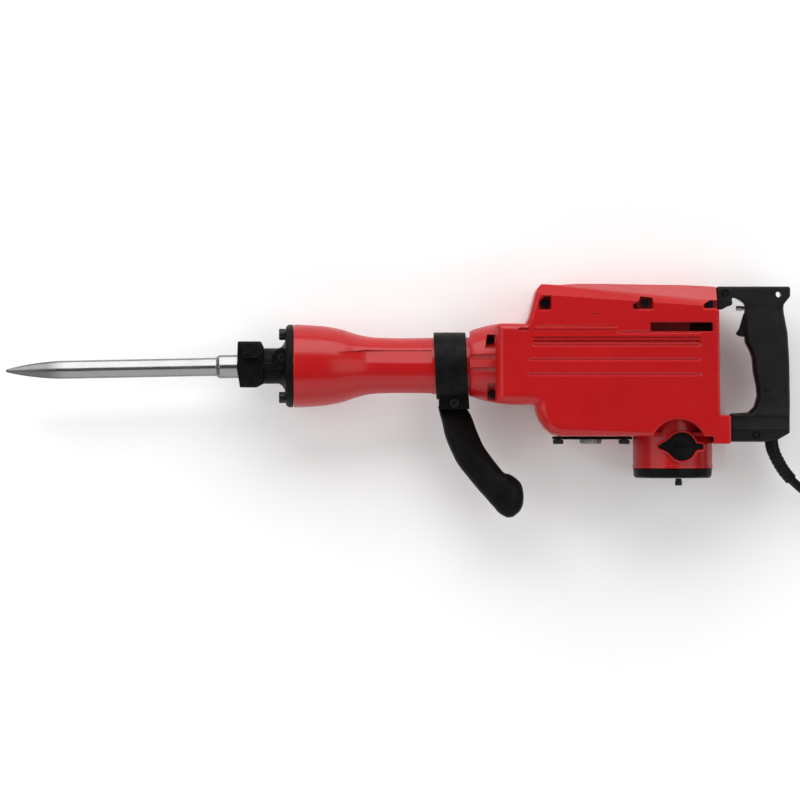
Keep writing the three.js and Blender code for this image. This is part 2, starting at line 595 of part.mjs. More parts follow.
add('side_handle_band', handleBand(), BLACK_CAST);
add('side_handle_grip', sideGrip(), BLACK_PLASTIC);
add('side_handle_bolt', turned([
  [-15.5, 0], [-15.5, 6], [-12.3, 6], [-12.3, 4], [12.3, 4], [12.3, 5.3], [16.5, 5.3], [16.5, 0],
], 'z', [233.2, -40.2]), BLACK_CAST);

// ---- mains lead ----
const flat = ([x, y, z]) => new THREE.Vector3(x, y, z);
// Through the strain relief, out of the handle, down to the floor and up to the coil.
const leadPoints = [
  [574.6, -72, 0], [574.9, -80, 0], [576, -88, 0], [579.8, -98, -0.5], [587.6, -111.6, -3],
  [596, -121.8, -8], [605.5, -130.4, -15.5], [617, -140, -26], [631, -151, -40], [645, -162, -51],
  [660, -171.5, -55.1],
].map(flat);
const lead = new THREE.CatmullRomCurve3(leadPoints, false, 'centripetal');
const GUARD_END = 0.42; // share of the lead that the strain relief covers

function part(curve, from, to, count) {
  return new THREE.CatmullRomCurve3(Array.from({ length: count + 1 }, (_, i) =>
    curve.getPointAt(from + ((to - from) * i) / count)), false, 'centripetal');
}

function tube(curve, radius, steps, sides) {
  const section = polygon(ellipse(radius, radius, sides));
  return new THREE.ExtrudeGeometry(section, { steps, extrudePath: curve, bevelEnabled: false });
}

const tailPoints = [[784, -98, -38], [785.2, -84, -43.5], [785.5, -69, -45.7], [785.5, -54.5, -45.7]].map(flat);

function plug() {
  const rear = -54;
  const body = turned([
    [rear, 0], [rear, 7], [rear + 14, 8], [rear + 22, 13], [rear + 44, 14], [rear + 46, 12.5], [rear + 46, 0],
  ], 'y', [0, 0], 20);
  const pins = [-9.5, 9.5].map((x) => rod('y', rear + 44, rear + 64, 2.4, [x, 0], 12));
  return carve([body, ...pins]).translate(785.5, 0, FLOOR + 14.3);
}

const boot = (t) => ellipse(7.3 - 0.9 * t, 7.3 - 0.9 * t, 12); // tapers towards its free end
add('cord_guard', swept(part(lead, 0, GUARD_END, 8), 14, boot), RUBBER);
add('power_cord', tube(part(lead, GUARD_END + 0.004, 1, 8), CORD_D / 2, 8, 10), RUBBER);
add('cord_coil', ring('z', FLOOR + GAP, FLOOR + COIL.height, COIL.inner, COIL.outer,
  [COIL.x, COIL.y], FINE), RUBBER);
const tail = new THREE.CatmullRomCurve3(tailPoints, false, 'centripetal');
add('cord_tail', tube(tail, CORD_D / 2, 5, 10), RUBBER);
add('plug', plug(), BLACK_PLASTIC);

// ---- the origin is on the floor, under the middle of the hammer ----
hammer.position.set(-(TIP_X + BACK_X) / 2, -(TOP_Y + LOW_Y) / 2, HALF_WIDTH);
hammer.updateMatrixWorld(true);

export default hammer;
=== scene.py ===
import json
import math

import bmesh
import bpy
from mathutils import Matrix, Vector


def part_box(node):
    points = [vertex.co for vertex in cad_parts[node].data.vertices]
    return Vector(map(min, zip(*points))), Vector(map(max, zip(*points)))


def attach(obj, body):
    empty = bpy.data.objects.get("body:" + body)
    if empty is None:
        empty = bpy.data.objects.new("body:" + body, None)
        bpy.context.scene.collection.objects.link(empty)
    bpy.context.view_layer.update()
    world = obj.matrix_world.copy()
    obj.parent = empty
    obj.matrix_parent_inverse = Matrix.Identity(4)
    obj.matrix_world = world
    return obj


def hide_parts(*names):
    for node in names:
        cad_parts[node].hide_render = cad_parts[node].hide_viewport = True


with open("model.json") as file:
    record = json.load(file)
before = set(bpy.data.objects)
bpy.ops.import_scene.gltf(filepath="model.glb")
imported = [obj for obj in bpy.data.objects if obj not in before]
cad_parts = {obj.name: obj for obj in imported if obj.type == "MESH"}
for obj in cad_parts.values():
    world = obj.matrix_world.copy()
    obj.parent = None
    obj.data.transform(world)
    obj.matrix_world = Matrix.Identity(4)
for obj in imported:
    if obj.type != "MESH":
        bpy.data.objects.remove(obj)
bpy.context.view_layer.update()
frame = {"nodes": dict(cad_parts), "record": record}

# ---- the tool's own frame in millimetres ----
# X goes back from the nose, Y to the top cover, Z up from the barrel axis.
BARREL_START = 60  # the barrel's front face, measured back from the nose
HALF_WIDTH = 60  # from the barrel axis to the outer face of either side cover
GAP = 0.3  # left between the two halves of a casing
case_low, case_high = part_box("cylinder_case")
AXIS = (case_low + case_high) / 2
TO_ROW = Matrix.Translation((case_low.x - BARREL_START / 1000, AXIS.y, AXIS.z)) @ Matrix.Scale(0.001, 4)
FLOOR_Z = -AXIS.z * 1000
MOTOR_X = sum(corner.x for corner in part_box("motor_housing")) / 2 * 1000 - TO_ROW.translation.x * 1000
BRUSH_Y = -86.6
CAP_X = MOTOR_X + 8.6  # the cap sits behind the motor's own axis
MOTOR_R = 42.8
CORD_D = 9.5
CORD_EXIT = (574.9, -80, 0)  # where the lead leaves the handle
FINE, ROUND = 160, 128  # segments of the largest turned shapes and of the next largest


def row(x, y, z):
    return TO_ROW @ Vector((x, y, z))


def placed(name, data):
    """A new object in the scene that shows the data."""
    obj = bpy.data.objects.new(name, data)
    bpy.context.scene.collection.objects.link(obj)
    return obj


# ---- camera: straight down on the near side ----
CAMERA_HEIGHT = 9  # metres above the barrel axis
VIEW_WIDTH = 0.8624  # metres across the frame at the barrel axis
VIEW_CENTRE = (174.6, -36.65, 0)
camera = placed("camera", bpy.data.cameras.new("camera"))
camera.location = row(*VIEW_CENTRE) + Vector((0, 0, CAMERA_HEIGHT))
camera.data.sensor_width = 36
camera.data.lens = 36 * CAMERA_HEIGHT / VIEW_WIDTH
camera.data.clip_end = 50
bpy.context.scene.camera = camera


# ---- mesh helpers: everything is shaped in tool millimetres and placed at the end ----
def new_object(name, verts, faces):
    mesh = bpy.data.meshes.new(name)
    mesh.from_pydata([tuple(v) for v in verts], [], faces)
    mesh.validate()
    obj = placed(name, mesh)
    work = bmesh.new()
    work.from_mesh(mesh)
    bmesh.ops.remove_doubles(work, verts=work.verts, dist=2e-3)
    bmesh.ops.recalc_face_normals(work, faces=work.faces)
    work.to_mesh(mesh)
    work.free()
    return obj


def remove(obj):
    mesh = obj.data
    bpy.data.objects.remove(obj)
    if mesh.users == 0:
        bpy.data.meshes.remove(mesh)


def on_axis(axis, along, across):
    a, b = across
    return {"x": (along, a, b), "y": (a, along, b), "z": (a, b, along)}[axis]


def loft(sections):
    """A skin through rings of 3-D points, closed at both ends."""
    count = len(sections[0])
    verts = [p for section in sections for p in section]
    last = (len(sections) - 1) * count
    faces = [tuple(range(count)), tuple(range(last, last + count))]
    for k in range(len(sections) - 1):
        for i in range(count):
            j = (i + 1) % count
            faces.append((k * count + i, k * count + j, (k + 1) * count + j, (k + 1) * count + i))
    return new_object("loft", verts, faces)


def prism(outline, axis, low, high):
    """An outline pushed along an axis: (Y, Z) along x, (X, Z) along y, (X, Y) along z."""
    return loft([[on_axis(axis, level, point) for point in outline] for level in (low, high)])


def four_corners(x0, x1, y0, y1):
    return [(x0, y0), (x1, y0), (x1, y1), (x0, y1)]


def box(x0, x1, y0, y1, z0, z1):
    return prism(four_corners(x0, x1, y0, y1), "z", z0, z1)


def turned(profile, axis="x", centre=(0, 0), segments=96):
    """A closed profile of (distance along the axis, radius), turned about it."""
    verts, rings = [], []
    for along, radius in profile:
        count = segments if radius > 0 else 1
        rings.append(range(len(verts), len(verts) + count))
        for i in range(count):
            angle = 2 * math.pi * i / segments
            across = (centre[0] + radius * math.cos(angle), centre[1] + radius * math.sin(angle))
            verts.append(on_axis(axis, along, across))
    faces = []
    for here, there in zip(rings, rings[1:] + rings[:1]):
        for i in range(segments):
            j = (i + 1) % segments
            quad = [here[i % len(here)], here[j % len(here)], there[j % len(there)], there[i % len(there)]]
            corners = list(dict.fromkeys(quad))
            if len(corners) > 2:
                faces.append(tuple(corners))
    return new_object("turned", verts, faces)


def ring(axis, low, high, inner, outer, centre=(0, 0), segments=96):
    return turned([(low, inner), (low, outer), (high, outer), (high, inner)], axis, centre, segments)


def rod(axis, low, high, radius, centre=(0, 0), segments=48):
    return ring(axis, low, high, 0, radius, centre, segments)


def arc(x, y, radius, start, end, count):
    """Points round a centre, angles in degrees."""
    angles = [math.radians(start + (end - start) * i / count) for i in range(count + 1)]
    return [(x + radius * math.cos(a), y + radius * math.sin(a)) for a in angles]


def six_corners(centre, reach):
    """The corners of a hexagon with one of them ahead of its centre."""
    return arc(*centre, reach, 0, 300, 5)


def turn_corner(start, corner, end, steps):
    """Points that lead smoothly from start to end, drawn towards the corner between them."""
    shares = [k / steps for k in range(steps + 1)]
    return [start * (1 - t) ** 2 + corner * (2 * t * (1 - t)) + end * t ** 2 for t in shares]


def rounded(outline, radius, steps=5):
    """The outline with its corners rounded, less where the sides are short."""
    points = [Vector(p) for p in outline]
    result = []
    for i, corner in enumerate(points):
        before, after = points[i - 1] - corner, points[(i + 1) % len(points)] - corner
        half = before.angle(after) / 2
        reach = min(radius / math.tan(half), 0.45 * before.length, 0.45 * after.length)
        start, end = corner + before.normalized() * reach, corner + after.normalized() * reach
        result += [tuple(point) for point in turn_corner(start, corner, end, steps)]
    return result


def catmull_rom(p, q, r, s, t):
    """One coordinate of the smooth line from q to r, with p before them and s after."""
    bend = 2 * p - 5 * q + 4 * r - s
    return 0.5 * (2 * q + (r - p) * t + bend * t * t + (3 * q - p - 3 * r + s) * t ** 3)


def smooth_line(points, steps):
    """A smooth line from the second point to just before the last but one."""
    return [tuple(catmull_rom(*coordinate, k / steps) for coordinate in zip(*four))
            for four in zip(points, points[1:], points[2:], points[3:]) for k in range(steps)]


def smooth_profile(points, steps=6):
    """A smooth line through all the points."""
    return smooth_line([points[0], *points, points[-1]], steps) + [tuple(points[-1])]


def smooth_closed(points, steps=5):
    """A smooth closed outline through the points."""
    return smooth_line([points[-1], *points, points[0], points[1]], steps)


def swept(centres, section, headings=None):
    """
    A section of (across, up) points carried along a line of centres; section(t) gives it from 0 to 1.
    Headings are degrees from +X. Without them it faces along the line.
    """
    centres = [Vector(c) for c in centres]
    rings_out = []
    for k, centre in enumerate(centres):
        ahead = centres[min(k + 1, len(centres) - 1)] - centres[max(k - 1, 0)]
        if headings:
            ahead = Vector((math.cos(math.radians(headings[k])), math.sin(math.radians(headings[k])), 0))
        side = Vector((0, 0, 1)).cross(ahead).normalized()
        lift = ahead.cross(side).normalized()
        rings_out.append([centre + side * a + lift * b for a, b in section(k / (len(centres) - 1))])
    return loft(rings_out)


def superellipse(half_a, half_b, power, count):
    angles = [2 * math.pi * i / count for i in range(count)]
    return [tuple(half * math.copysign(abs(share) ** (2 / power), share)
                  for half, share in ((half_a, math.cos(a)), (half_b, math.sin(a)))) for a in angles]


def modify(obj, kind, **settings):
    """Adds a modifier, applies it and leaves a plain mesh."""
    modifier = obj.modifiers.new(kind.lower(), kind)
    for key, value in settings.items():
        setattr(modifier, key, value)
    result = obj.evaluated_get(bpy.context.evaluated_depsgraph_get())
    old, mesh = obj.data, bpy.data.meshes.new_from_object(result)
    obj.modifiers.clear()
    obj.data = mesh
    bpy.data.meshes.remove(old)
    return obj


def boolean(obj, others, operation):
    for other in others:
        modify(obj, "BOOLEAN", object=other, operation=operation, solver="MANIFOLD")
        remove(other)
    return obj


def cut(obj, *others):
    return boolean(obj, others, "DIFFERENCE")


def join(obj, *others):
    return boolean(obj, others, "UNION")


def round_edges(obj, width, segments=3, angle=40):
    return modify(obj, "BEVEL", width=width, segments=segments, limit_method="ANGLE",
                  angle_limit=math.radians(angle), miter_outer="MITER_ARC", use_clamp_overlap=True)


def melt(obj, voxel, passes):
    """Fuses joined shapes into one skin with cast fillets."""
    modify(obj, "REMESH", mode="VOXEL", voxel_size=voxel)
    return modify(obj, "SMOOTH", factor=0.5, iterations=passes)


def moved(obj, matrix):
    obj.data.transform(matrix)
    return obj


def spin(degrees, axis):
    return Matrix.Rotation(math.radians(degrees), 4, axis)


def shift(x, y, z):
    return Matrix.Translation((x, y, z))


def on_side(obj, side):
    """A shape made for the near side, left there for side 1 and mirrored for side -1."""
    if side < 0:
        obj.data.transform(Matrix.Scale(-1, 4, (0, 0, 1)))
        obj.data.flip_normals()
    return obj


def dress(mesh, material, angle):
    """One material, and smooth shading that breaks at edges sharper than the angle."""
    mesh.materials.clear()
    mesh.materials.append(material)
    mesh.shade_smooth()
    mesh.set_sharp_from_angle(angle=math.radians(angle))


def piece(obj, name, look, *nodes, body="frame", sharp=35):
    """Places a finished shape in the row frame and says what it is."""
    slot, material = look
    obj.name = name
    obj.data.transform(TO_ROW)
    dress(obj.data, material, sharp)
    if len(obj.data.polygons) < 30000:
        modify(obj, "WEIGHTED_NORMAL", keep_sharp=True, weight=60)
    obj.data.name = name
    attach(obj, body)
    if nodes:
        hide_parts(*nodes)
    return obj


# ---- shaping helpers for the castings and mouldings ----
SIDES = {1: "near", -1: "far"}


def offset(outline, distance):
    """The closed outline moved outwards by distance, which may be below 0 or depend on the point."""
    points = [Vector(p) for p in outline]
    area = sum(a.x * b.y - b.x * a.y for a, b in zip(points, points[1:] + points[:1]))
    turn = 1 if area > 0 else -1
    result = []
    for i, here in enumerate(points):
        before = (here - points[i - 1]).normalized()
        after = (points[(i + 1) % len(points)] - here).normalized()
        n1, n2 = Vector((before.y, -before.x)) * turn, Vector((after.y, -after.x)) * turn
        bisector = (n1 + n2).normalized()
        reach = distance(here) if callable(distance) else distance
        result.append(tuple(here + bisector * reach / max(bisector.dot(n1), 0.6)))
    return result


def untangled(outline, inner):
    """Where insetting has turned short sides round, their ends are drawn together."""
    before = [Vector(p) for p in outline]
    points = [Vector(p) for p in inner]
    for _ in range(60):
        turned_round = False
        for i in range(len(points)):
            j = (i + 1) % len(points)
            if (before[j] - before[i]).dot(points[j] - points[i]) < -1e-9:
                points[i] = points[j] = (points[i] + points[j]) / 2
                turned_round = True
        if not turned_round:
            break
    return points


def crowned(outline, low, high, radius_at, steps=7):
    """
    An outline pushed along z whose upper edge is rolled over with a radius that depends on the place.
    With no low level it's the same above and below z = 0.
    """
    widest = max(radius_at(Vector(p)) for p in outline)
    levels = [high - widest * (1 - math.sin(math.pi / 2 * k / steps)) for k in range(steps + 1)]
    levels = [-level for level in reversed(levels)] + levels if low is None else [low] + levels

    def inset(point, level):
        radius = radius_at(point)
        rise = abs(level) - (high - radius)
        return math.sqrt(max(radius ** 2 - rise ** 2, 0)) - radius if rise > 0 else 0

    sections = []
    for level in levels:
        inner = offset(outline, lambda point: inset(point, level))
        sections.append([(x, y, level) for x, y in untangled(outline, inner)])
    return loft(sections)


def recess(outline, floor, face, lip=0.7, depth=30):
    """A cutter for a pocket from floor up through face, with a bevelled lip where it leaves the face."""
    wide = offset(outline, lip)
    levels = ((floor, outline), (face - lip, outline), (face, wide), (face + depth, wide))
    return loft([[(x, y, z) for x, y in ring_points] for z, ring_points in levels])


def gridded(obj, across, up):
    """Scores the mesh along X and Y, so that later cuts leave small faces."""
    work = bmesh.new()
    work.from_mesh(obj.data)
    for normal, places in (((1, 0, 0), across), ((0, 1, 0), up)):
        for place in places:
            everything = work.verts[:] + work.edges[:] + work.faces[:]
            bmesh.ops.bisect_plane(work, geom=everything, plane_co=Vector(normal) * place, plane_no=normal)
    work.to_mesh(obj.data)
    work.free()
    return obj


def half_space(point, normal, size=500):
    """A cutter that takes away everything on the normal's side of a plane."""
    block = box(-size, size, -size, size, 0, size)
    turn = Vector((0, 0, 1)).rotation_difference(Vector(normal)).to_matrix().to_4x4()
    return moved(block, Matrix.Translation(point) @ turn)


def channel(x0, x1, top, floor_top, floor_low, low, depth, face, taper):
    """A cutter along X through face, with its edges at these Y. It runs out over taper at both ends."""
    section = [(top, face + 1), (top, face + 0.001), (floor_top, face - depth),
               (floor_low, face - depth), (low, face + 0.001), (low, face + 1)]
    middle = sum(y for y, _ in section) / len(section)
    ends = []
    for x, share in ((x0, 0.05), (x0 + taper, 1), (x1 - taper, 1), (x1, 0.05)):
        narrowed = 0.4 + 0.6 * share
        ends.append([(x, middle + (y - middle) * narrowed, face + (z - face) * (share if z < face else 1))
                     for y, z in section])
    return loft(ends)


def groove(x0, x1, y, width, depth, face):
    """A long easy slope down and a short steep one back up, which catches the light."""
    return channel(x0, x1, y + width, y + 0.5, y, y - depth * 1.1, depth, face, width)


def slot(x0, x1, y, width, depth, face):
    """A steep-sided channel that stays dark."""
    half = width / 2
    return channel(x0, x1, y + half, y + half * 0.8, y - half * 0.7, y - half, depth, face, width)


# ---- materials ----
def feed(tree, socket, value):
    """Links another node's output to the socket, or sets a plain value there."""
    if isinstance(value, bpy.types.NodeSocket):
        tree.links.new(value, socket)
    else:
        socket.default_value = value


def add_node(tree, kind, **inputs):
    node = tree.nodes.new("ShaderNode" + kind)
    for name, value in inputs.items():
        feed(tree, node.inputs[name.replace("_", " ")], value)
    return node


def combine(tree, kind, operation, first, second):
    node = add_node(tree, kind)
    node.operation = operation
    tree.links.new(first, node.inputs[0])
    tree.links.new(second, node.inputs[1])
    return node.outputs["Value"]


def material(name, color, roughness, **constants):
    """A material and its tree. The constants carry the names of shader inputs."""
    mat = bpy.data.materials.new(name)
    mat.use_nodes = True
    shader = mat.node_tree.nodes["Principled BSDF"]
    for socket, value in {"Base Color": (*color, 1), "Roughness": roughness, **constants}.items():
        shader.inputs[socket.replace("_", " ")].default_value = value
    return mat, mat.node_tree


def noise_node(tree, scale, detail=4, roughness=0.55, stretch=(1, 1, 1)):
    """Solid noise in metres, so its grain is the same size on every piece."""
    place = add_node(tree, "TexCoord").outputs["Object"]
    stretched = add_node(tree, "Mapping", Vector=place, Scale=stretch).outputs["Vector"]
    texture = add_node(tree, "TexNoise", Vector=stretched, Scale=scale, Detail=detail, Roughness=roughness)
    return texture.outputs["Fac"]


def grey_ramp(tree, value, start, end, first=0, last=1):
    """Grey that goes from first, where the value is start, to last, where it's end."""
    node = add_node(tree, "ValToRGB", Fac=value)
    for element, position, grey in zip(node.color_ramp.elements, (start, end), (first, last)):
        element.position = position
        element.color = (grey, grey, grey, 1)
    return node.outputs["Color"]


def mix(tree, factor, first, second):
    node = add_node(tree, "Mix")
    node.data_type = "RGBA"
    for socket, value in ((0, factor), (6, first), (7, second)):
        feed(tree, node.inputs[socket], (*value, 1) if isinstance(value, tuple) else value)
    return node.outputs[2]


def softened_normal(tree, radius):
    node = add_node(tree, "Bevel", Radius=radius)
    node.samples = 4
    return node.outputs["Normal"]


def edge_wear_and_highlight(tree):
    """White along edges, broken up by noise: where a rounded normal departs from the face's own. It stands
    for worn edges, and on the black casting also for a painted highlight.
    """
    own = add_node(tree, "NewGeometry").outputs["Normal"]
    facing = combine(tree, "VectorMath", "DOT_PRODUCT", own, softened_normal(tree, 0.0007))
    edges = grey_ramp(tree, facing, 0.86, 0.985, 1, 0)
    patches = grey_ramp(tree, noise_node(tree, 210, 6, 0.7), 0.47, 0.6)
    return combine(tree, "Math", "MULTIPLY", edges, patches)


def finish(mat, base, roughness, relief, strength, distance):
    """Links the colour, the roughness and a fine relief over edges that are softened by a hair."""
    tree = mat.node_tree
    bump = add_node(tree, "Bump", Strength=strength, Distance=distance, Height=relief,
                    Normal=softened_normal(tree, 0.0004))
    shader = tree.nodes["Principled BSDF"]
    outputs = {"Base Color": base, "Roughness": roughness, "Normal": bump.outputs["Normal"]}
    for socket, output in outputs.items():
        tree.links.new(output, shader.inputs[socket])
    return mat


def red_paint(name, color, dark):
    """Glossy enamel with faint orange peel, darker patches, a little grime and chipped edges."""
    mat, tree = material(name, color, 0.36, Coat_Weight=0.4, Coat_Roughness=0.2, Specular_IOR_Level=0.12)
    body = mix(tree, grey_ramp(tree, noise_node(tree, 14, 3), 0.35, 0.7), color, dark)
    worn = mix(tree, edge_wear_and_highlight(tree), body, (0.42, 0.06, 0.06))
    smears = grey_ramp(tree, noise_node(tree, 38, 6, 0.65), 0.35, 0.7, 0.32, 0.46)
    return finish(mat, worn, smears, noise_node(tree, 420, 2, 0.4), 0.05, 0.0004)


def black_casting(name):
    """Black oxide over a sand casting: pitted grain, and lighter edges that are partly wear and partly a
    painted highlight.
    """
    mat, tree = material(name, (0.004, 0.004, 0.004), 0.42, Specular_IOR_Level=0.07)
    base = mix(tree, grey_ramp(tree, noise_node(tree, 90, 6), 0.4, 0.7),
               (0.0024, 0.0024, 0.0027), (0.0065, 0.006, 0.006))
    # lighter edges: partly wear, partly a painted highlight standing in for light glancing off them
    rubbed_and_highlit = mix(tree, edge_wear_and_highlight(tree), base, (0.09, 0.088, 0.085))
    grain = grey_ramp(tree, noise_node(tree, 160, 5), 0.3, 0.7, 0.34, 0.58)
    return finish(mat, rubbed_and_highlit, grain, noise_node(tree, 900, 6, 0.7), 0.28, 0.0004)


def moulded(name, color, roughness, grain, strength, shine=0.22):
    """Moulded plastic or rubber with a fine spark-eroded grain and dull scuffs."""
    mat, tree = material(name, color, roughness, Specular_IOR_Level=shine)
    lighter = tuple(c * 1.6 + 0.002 for c in color)
    scuffed = mix(tree, grey_ramp(tree, noise_node(tree, 30, 8, 0.7), 0.48, 0.75), color, lighter)
    spread = grey_ramp(tree, noise_node(tree, 70, 5), 0.3, 0.7, roughness - 0.08, roughness + 0.1)
    return finish(mat, scuffed, spread, noise_node(tree, grain, 3, 0.6), strength, 0.0003)


def machined(name, color, roughness, stretch, dark_before=None):
    """
    Ground or turned metal: fine tool marks along one direction, with duller patches.
    With dark_before it's darker ahead of that place along X, in metres.
    """
    mat, tree = material(name, color, roughness, Metallic=1)
    base = mix(tree, noise_node(tree, 26, 6, 0.65), tuple(c * 0.72 for c in color), color)
    if dark_before is not None:
        place = add_node(tree, "SeparateXYZ", Vector=add_node(tree, "TexCoord").outputs["Object"])
        reach = add_node(tree, "MapRange", Value=place.outputs["X"], From_Min=dark_before - 0.008,
                         From_Max=dark_before + 0.012)
        base = mix(tree, reach.outputs["Result"], tuple(c * 0.42 for c in color), base)
    marks = noise_node(tree, 700, 3, 0.6, stretch)
    spread = grey_ramp(tree, marks, 0.3, 0.75, roughness - 0.07, roughness + 0.12)
    return finish(mat, base, spread, marks, 0.06, 0.0001)


# each look is the CAD's material slot and the material that stands for it
RED = "red_paint", red_paint("red_enamel", (0.4, 0.004, 0.0055), (0.36, 0.0028, 0.004))
RED_CASE = "red_casting", red_paint("red_enamel_case", (0.38, 0.004, 0.0055), (0.33, 0.0028, 0.004))
CAST = "black_cast", black_casting("black_oxide_casting")
PLASTIC = "black_plastic", moulded("black_nylon", (0.0062, 0.0058, 0.0058), 0.42, 1500, 0.2, 0.18)
GRIP_RUBBER = "black_plastic", moulded("grip_rubber", (0.003, 0.0028, 0.003), 0.45, 1100, 0.3, 0.08)
TIE_RUBBER = "rubber", GRIP_RUBBER[1]
CAP_PLASTIC = "black_plastic", moulded("brush_cap_nylon", (0.003, 0.0028, 0.0028), 0.4, 1500, 0.2, 0.08)
RUBBER = "rubber", moulded("cord_rubber", (0.003, 0.003, 0.003), 0.42, 900, 0.3, 0.12)
POINT_END = row(-198, 0, 0).x
GROUND_STEEL = "chisel_steel", machined(
    "ground_tool_steel", (0.27, 0.27, 0.272), 0.24, (0.06, 1, 1), POINT_END)
BOLT_STEEL = "black_cast", machined("blackened_bolt_steel", (0.03, 0.03, 0.032), 0.4, (1, 1, 0.1))
SCREW_STEEL = "black_cast", machined("plated_screw_steel", (0.28, 0.27, 0.26), 0.34, (1, 1, 0.1))
STEEL = "steel", machined("turned_steel", (0.5, 0.51, 0.52), 0.3, (0.1, 1, 1))
ALLOY = "alloy", machined("machined_alloy", (0.62, 0.62, 0.63), 0.36, (0.1, 1, 1))
BRASS = "brass", machined("drawn_brass", (0.6, 0.44, 0.17), 0.32, (1, 1, 0.1))
COPPER = "copper", machined("lacquered_copper", (0.5, 0.22, 0.1), 0.34, (1, 0.05, 1))
CARBON = "carbon", moulded("pressed_carbon", (0.03, 0.03, 0.032), 0.7, 800, 0.2)

CAD_FINISH = dict([  # for the nodes that keep their CAD mesh
    RED, RED_CASE, CAST, PLASTIC, RUBBER, GROUND_STEEL, STEEL, ALLOY, BRASS, COPPER, CARBON,
])
for entry in frame["record"]["subparts"]:
    dress(frame["nodes"][entry["node"]].data, CAD_FINISH[entry["material_slot"]], 30)


# ---- mains lead: strain relief, the run to the floor, eight turns and the plug ----
COIL_X, COIL_Y = 716, -118
OUTER_TURN, INNER_TURN = 57.5, 48
LAYERS = 4
LEAD = [
    CORD_EXIT, (576, -88, 0), (579.8, -98, -0.5), (587.6, -111.6, -3), (596, -121.8, -8),
    (605.5, -130.4, -15.5), (617, -140, -26), (631, -151, -40), (645, -162, -51), (660, -171.5, -55.1),
    (675, -176.6, -55.25), (692, -176.6, -55.25),
]
TAIL = [(778, -104, -31.5), (784, -92, -38), (785.2, -80, -43.5), (785.5, -68, -45.7), (785.5, -54, -45.7)]


def coil_points():
    """Two turns in each layer, a diameter apart. Each turn ends by crossing over or climbing."""
    turns, steps, points = 2 * LAYERS, 28, []
    crossing = 0.8  # the share of a turn after which it changes place
    first = 4  # the lead joins the first turn a little past its start
    for k in range(first, turns * steps + steps // 4 + 1):
        turn, share = k // steps, k / steps % 1
        layer, second = divmod(min(turn, turns - 1), 2)
        radii = (INNER_TURN, OUTER_TURN) if layer % 2 else (OUTER_TURN, INNER_TURN)
        radius, height = radii[second], layer * CORD_D
        if turn < turns and share > crossing:
            t = (share - crossing) / (1 - crossing)
            t = t * t * (3 - 2 * t)
            if second == 0:
                radius += (radii[1] - radii[0]) * t
            elif layer < LAYERS - 1:
                height += CORD_D * t
        angle = math.radians(-90) + 2 * math.pi * k / steps
        points.append((COIL_X + radius * math.cos(angle), COIL_Y + radius * math.sin(angle),
                       FLOOR_Z + CORD_D / 2 + height))
    return points


def curve_tube(name, points, radius):
    data = bpy.data.curves.new(name, "CURVE")
    data.dimensions = "3D"
    data.bevel_depth = radius / 1000
    data.bevel_resolution = 5
    data.use_fill_caps = True
    spline = data.splines.new("POLY")
    spline.points.add(len(points) - 1)
    for target, point in zip(spline.points, points):
        target.co = (*row(*point), 1)
    spline.use_smooth = True
    data.materials.append(RUBBER[1])
    return placed(name, data)


def guard_path(count):
    """Points along the strain relief, from inside the handle out."""
    line = smooth_profile([(574.6, -72, 0), (574.6, -76, 0), *LEAD[:5]], 8)
    lengths = [0]
    for a, b in zip(line, line[1:]):
        lengths.append(lengths[-1] + (Vector(b) - Vector(a)).length)
    picked, k = [], 0
    for i in range(count + 1):
        want = lengths[-1] * i / count
        while k < len(lengths) - 2 and lengths[k + 1] < want:
            k += 1
        t = (want - lengths[k]) / (lengths[k + 1] - lengths[k])
        picked.append(Vector(line[k]).lerp(Vector(line[k + 1]), t))
    return picked


def cord_guard():
    """A tapered boot whose second half is cut into rings, the way a real boot is made to bend."""
    slits = 7

    def section(t):
        radius = 7.4 - 0.8 * t
        ribs = (t - 0.35) / 0.6 * slits
        if 0 < ribs < slits and ribs % 1 > 0.66:
            radius -= 0.5
        return superellipse(radius, radius, 2, 28)

    boot = swept(guard_path(110), section)
    return piece(boot, "cord_guard_boot", RUBBER, "cord_guard", sharp=50)


def plug():
    rear, x, z = -54, 785.5, FLOOR_Z + 14.3
    widths = [(0, 5.4), (6, 6.4), (12, 7.6), (18, 10), (23, 12.4), (30, 13.2), (40, 13.6), (44.4, 13.8)]
    profile = smooth_profile([(rear + along, radius) for along, radius in widths], 4)
    body = turned([(rear, 0), *profile, (rear + 46, 12.6), (rear + 46, 0)], "y", (x, z), 64)
    rings = [ring("y", rear + at, rear + at + 1.4, 5 + at * 0.1, 30, (x, z)) for at in (2.5, 5.5, 8.5)]
    finger_flats = [box(x + at - 2, x + at + 2, rear + 26, rear + 40, z - 5, z + 5) for at in (-13.2, 13.2)]
    body = round_edges(cut(body, *rings, *finger_flats), 0.6, 2)
    grip = piece(body, "plug_body", PLASTIC, "plug")
    root, tip = rear + 45, rear + 64
    profile = [(root, 0), (root, 2.4), (tip - 1.4, 2.4), (tip, 1.4), (tip, 0)]
    for number, across in ((1, -9.5), (2, 9.5)):
        pin = turned(profile, "y", (x + across, z), 24)
        piece(pin, f"plug_pin_{number}", BRASS)
    return grip


def coil_tie():
    """A hook-and-loop strap round the turns, on the side away from the hammer."""
    low, high = FLOOR_Z + 0.4, FLOOR_Z + LAYERS * CORD_D + 0.2
    inner, outer = INNER_TURN - CORD_D / 2 - 1.2, OUTER_TURN + CORD_D / 2 + 1
    band = prism(rounded(four_corners(inner, outer, low, high), 4), "y", -8, 8)
    inside = four_corners(inner + 1, outer - 1, low + 0.8, high - 0.8)
    hole = prism(rounded(inside, 3.4), "y", -20, 20)
    band = round_edges(cut(band, hole), 0.25, 2)
    moved(band, shift(COIL_X, COIL_Y, 0) @ spin(60, "Z"))
    return piece(band, "coil_tie", TIE_RUBBER)


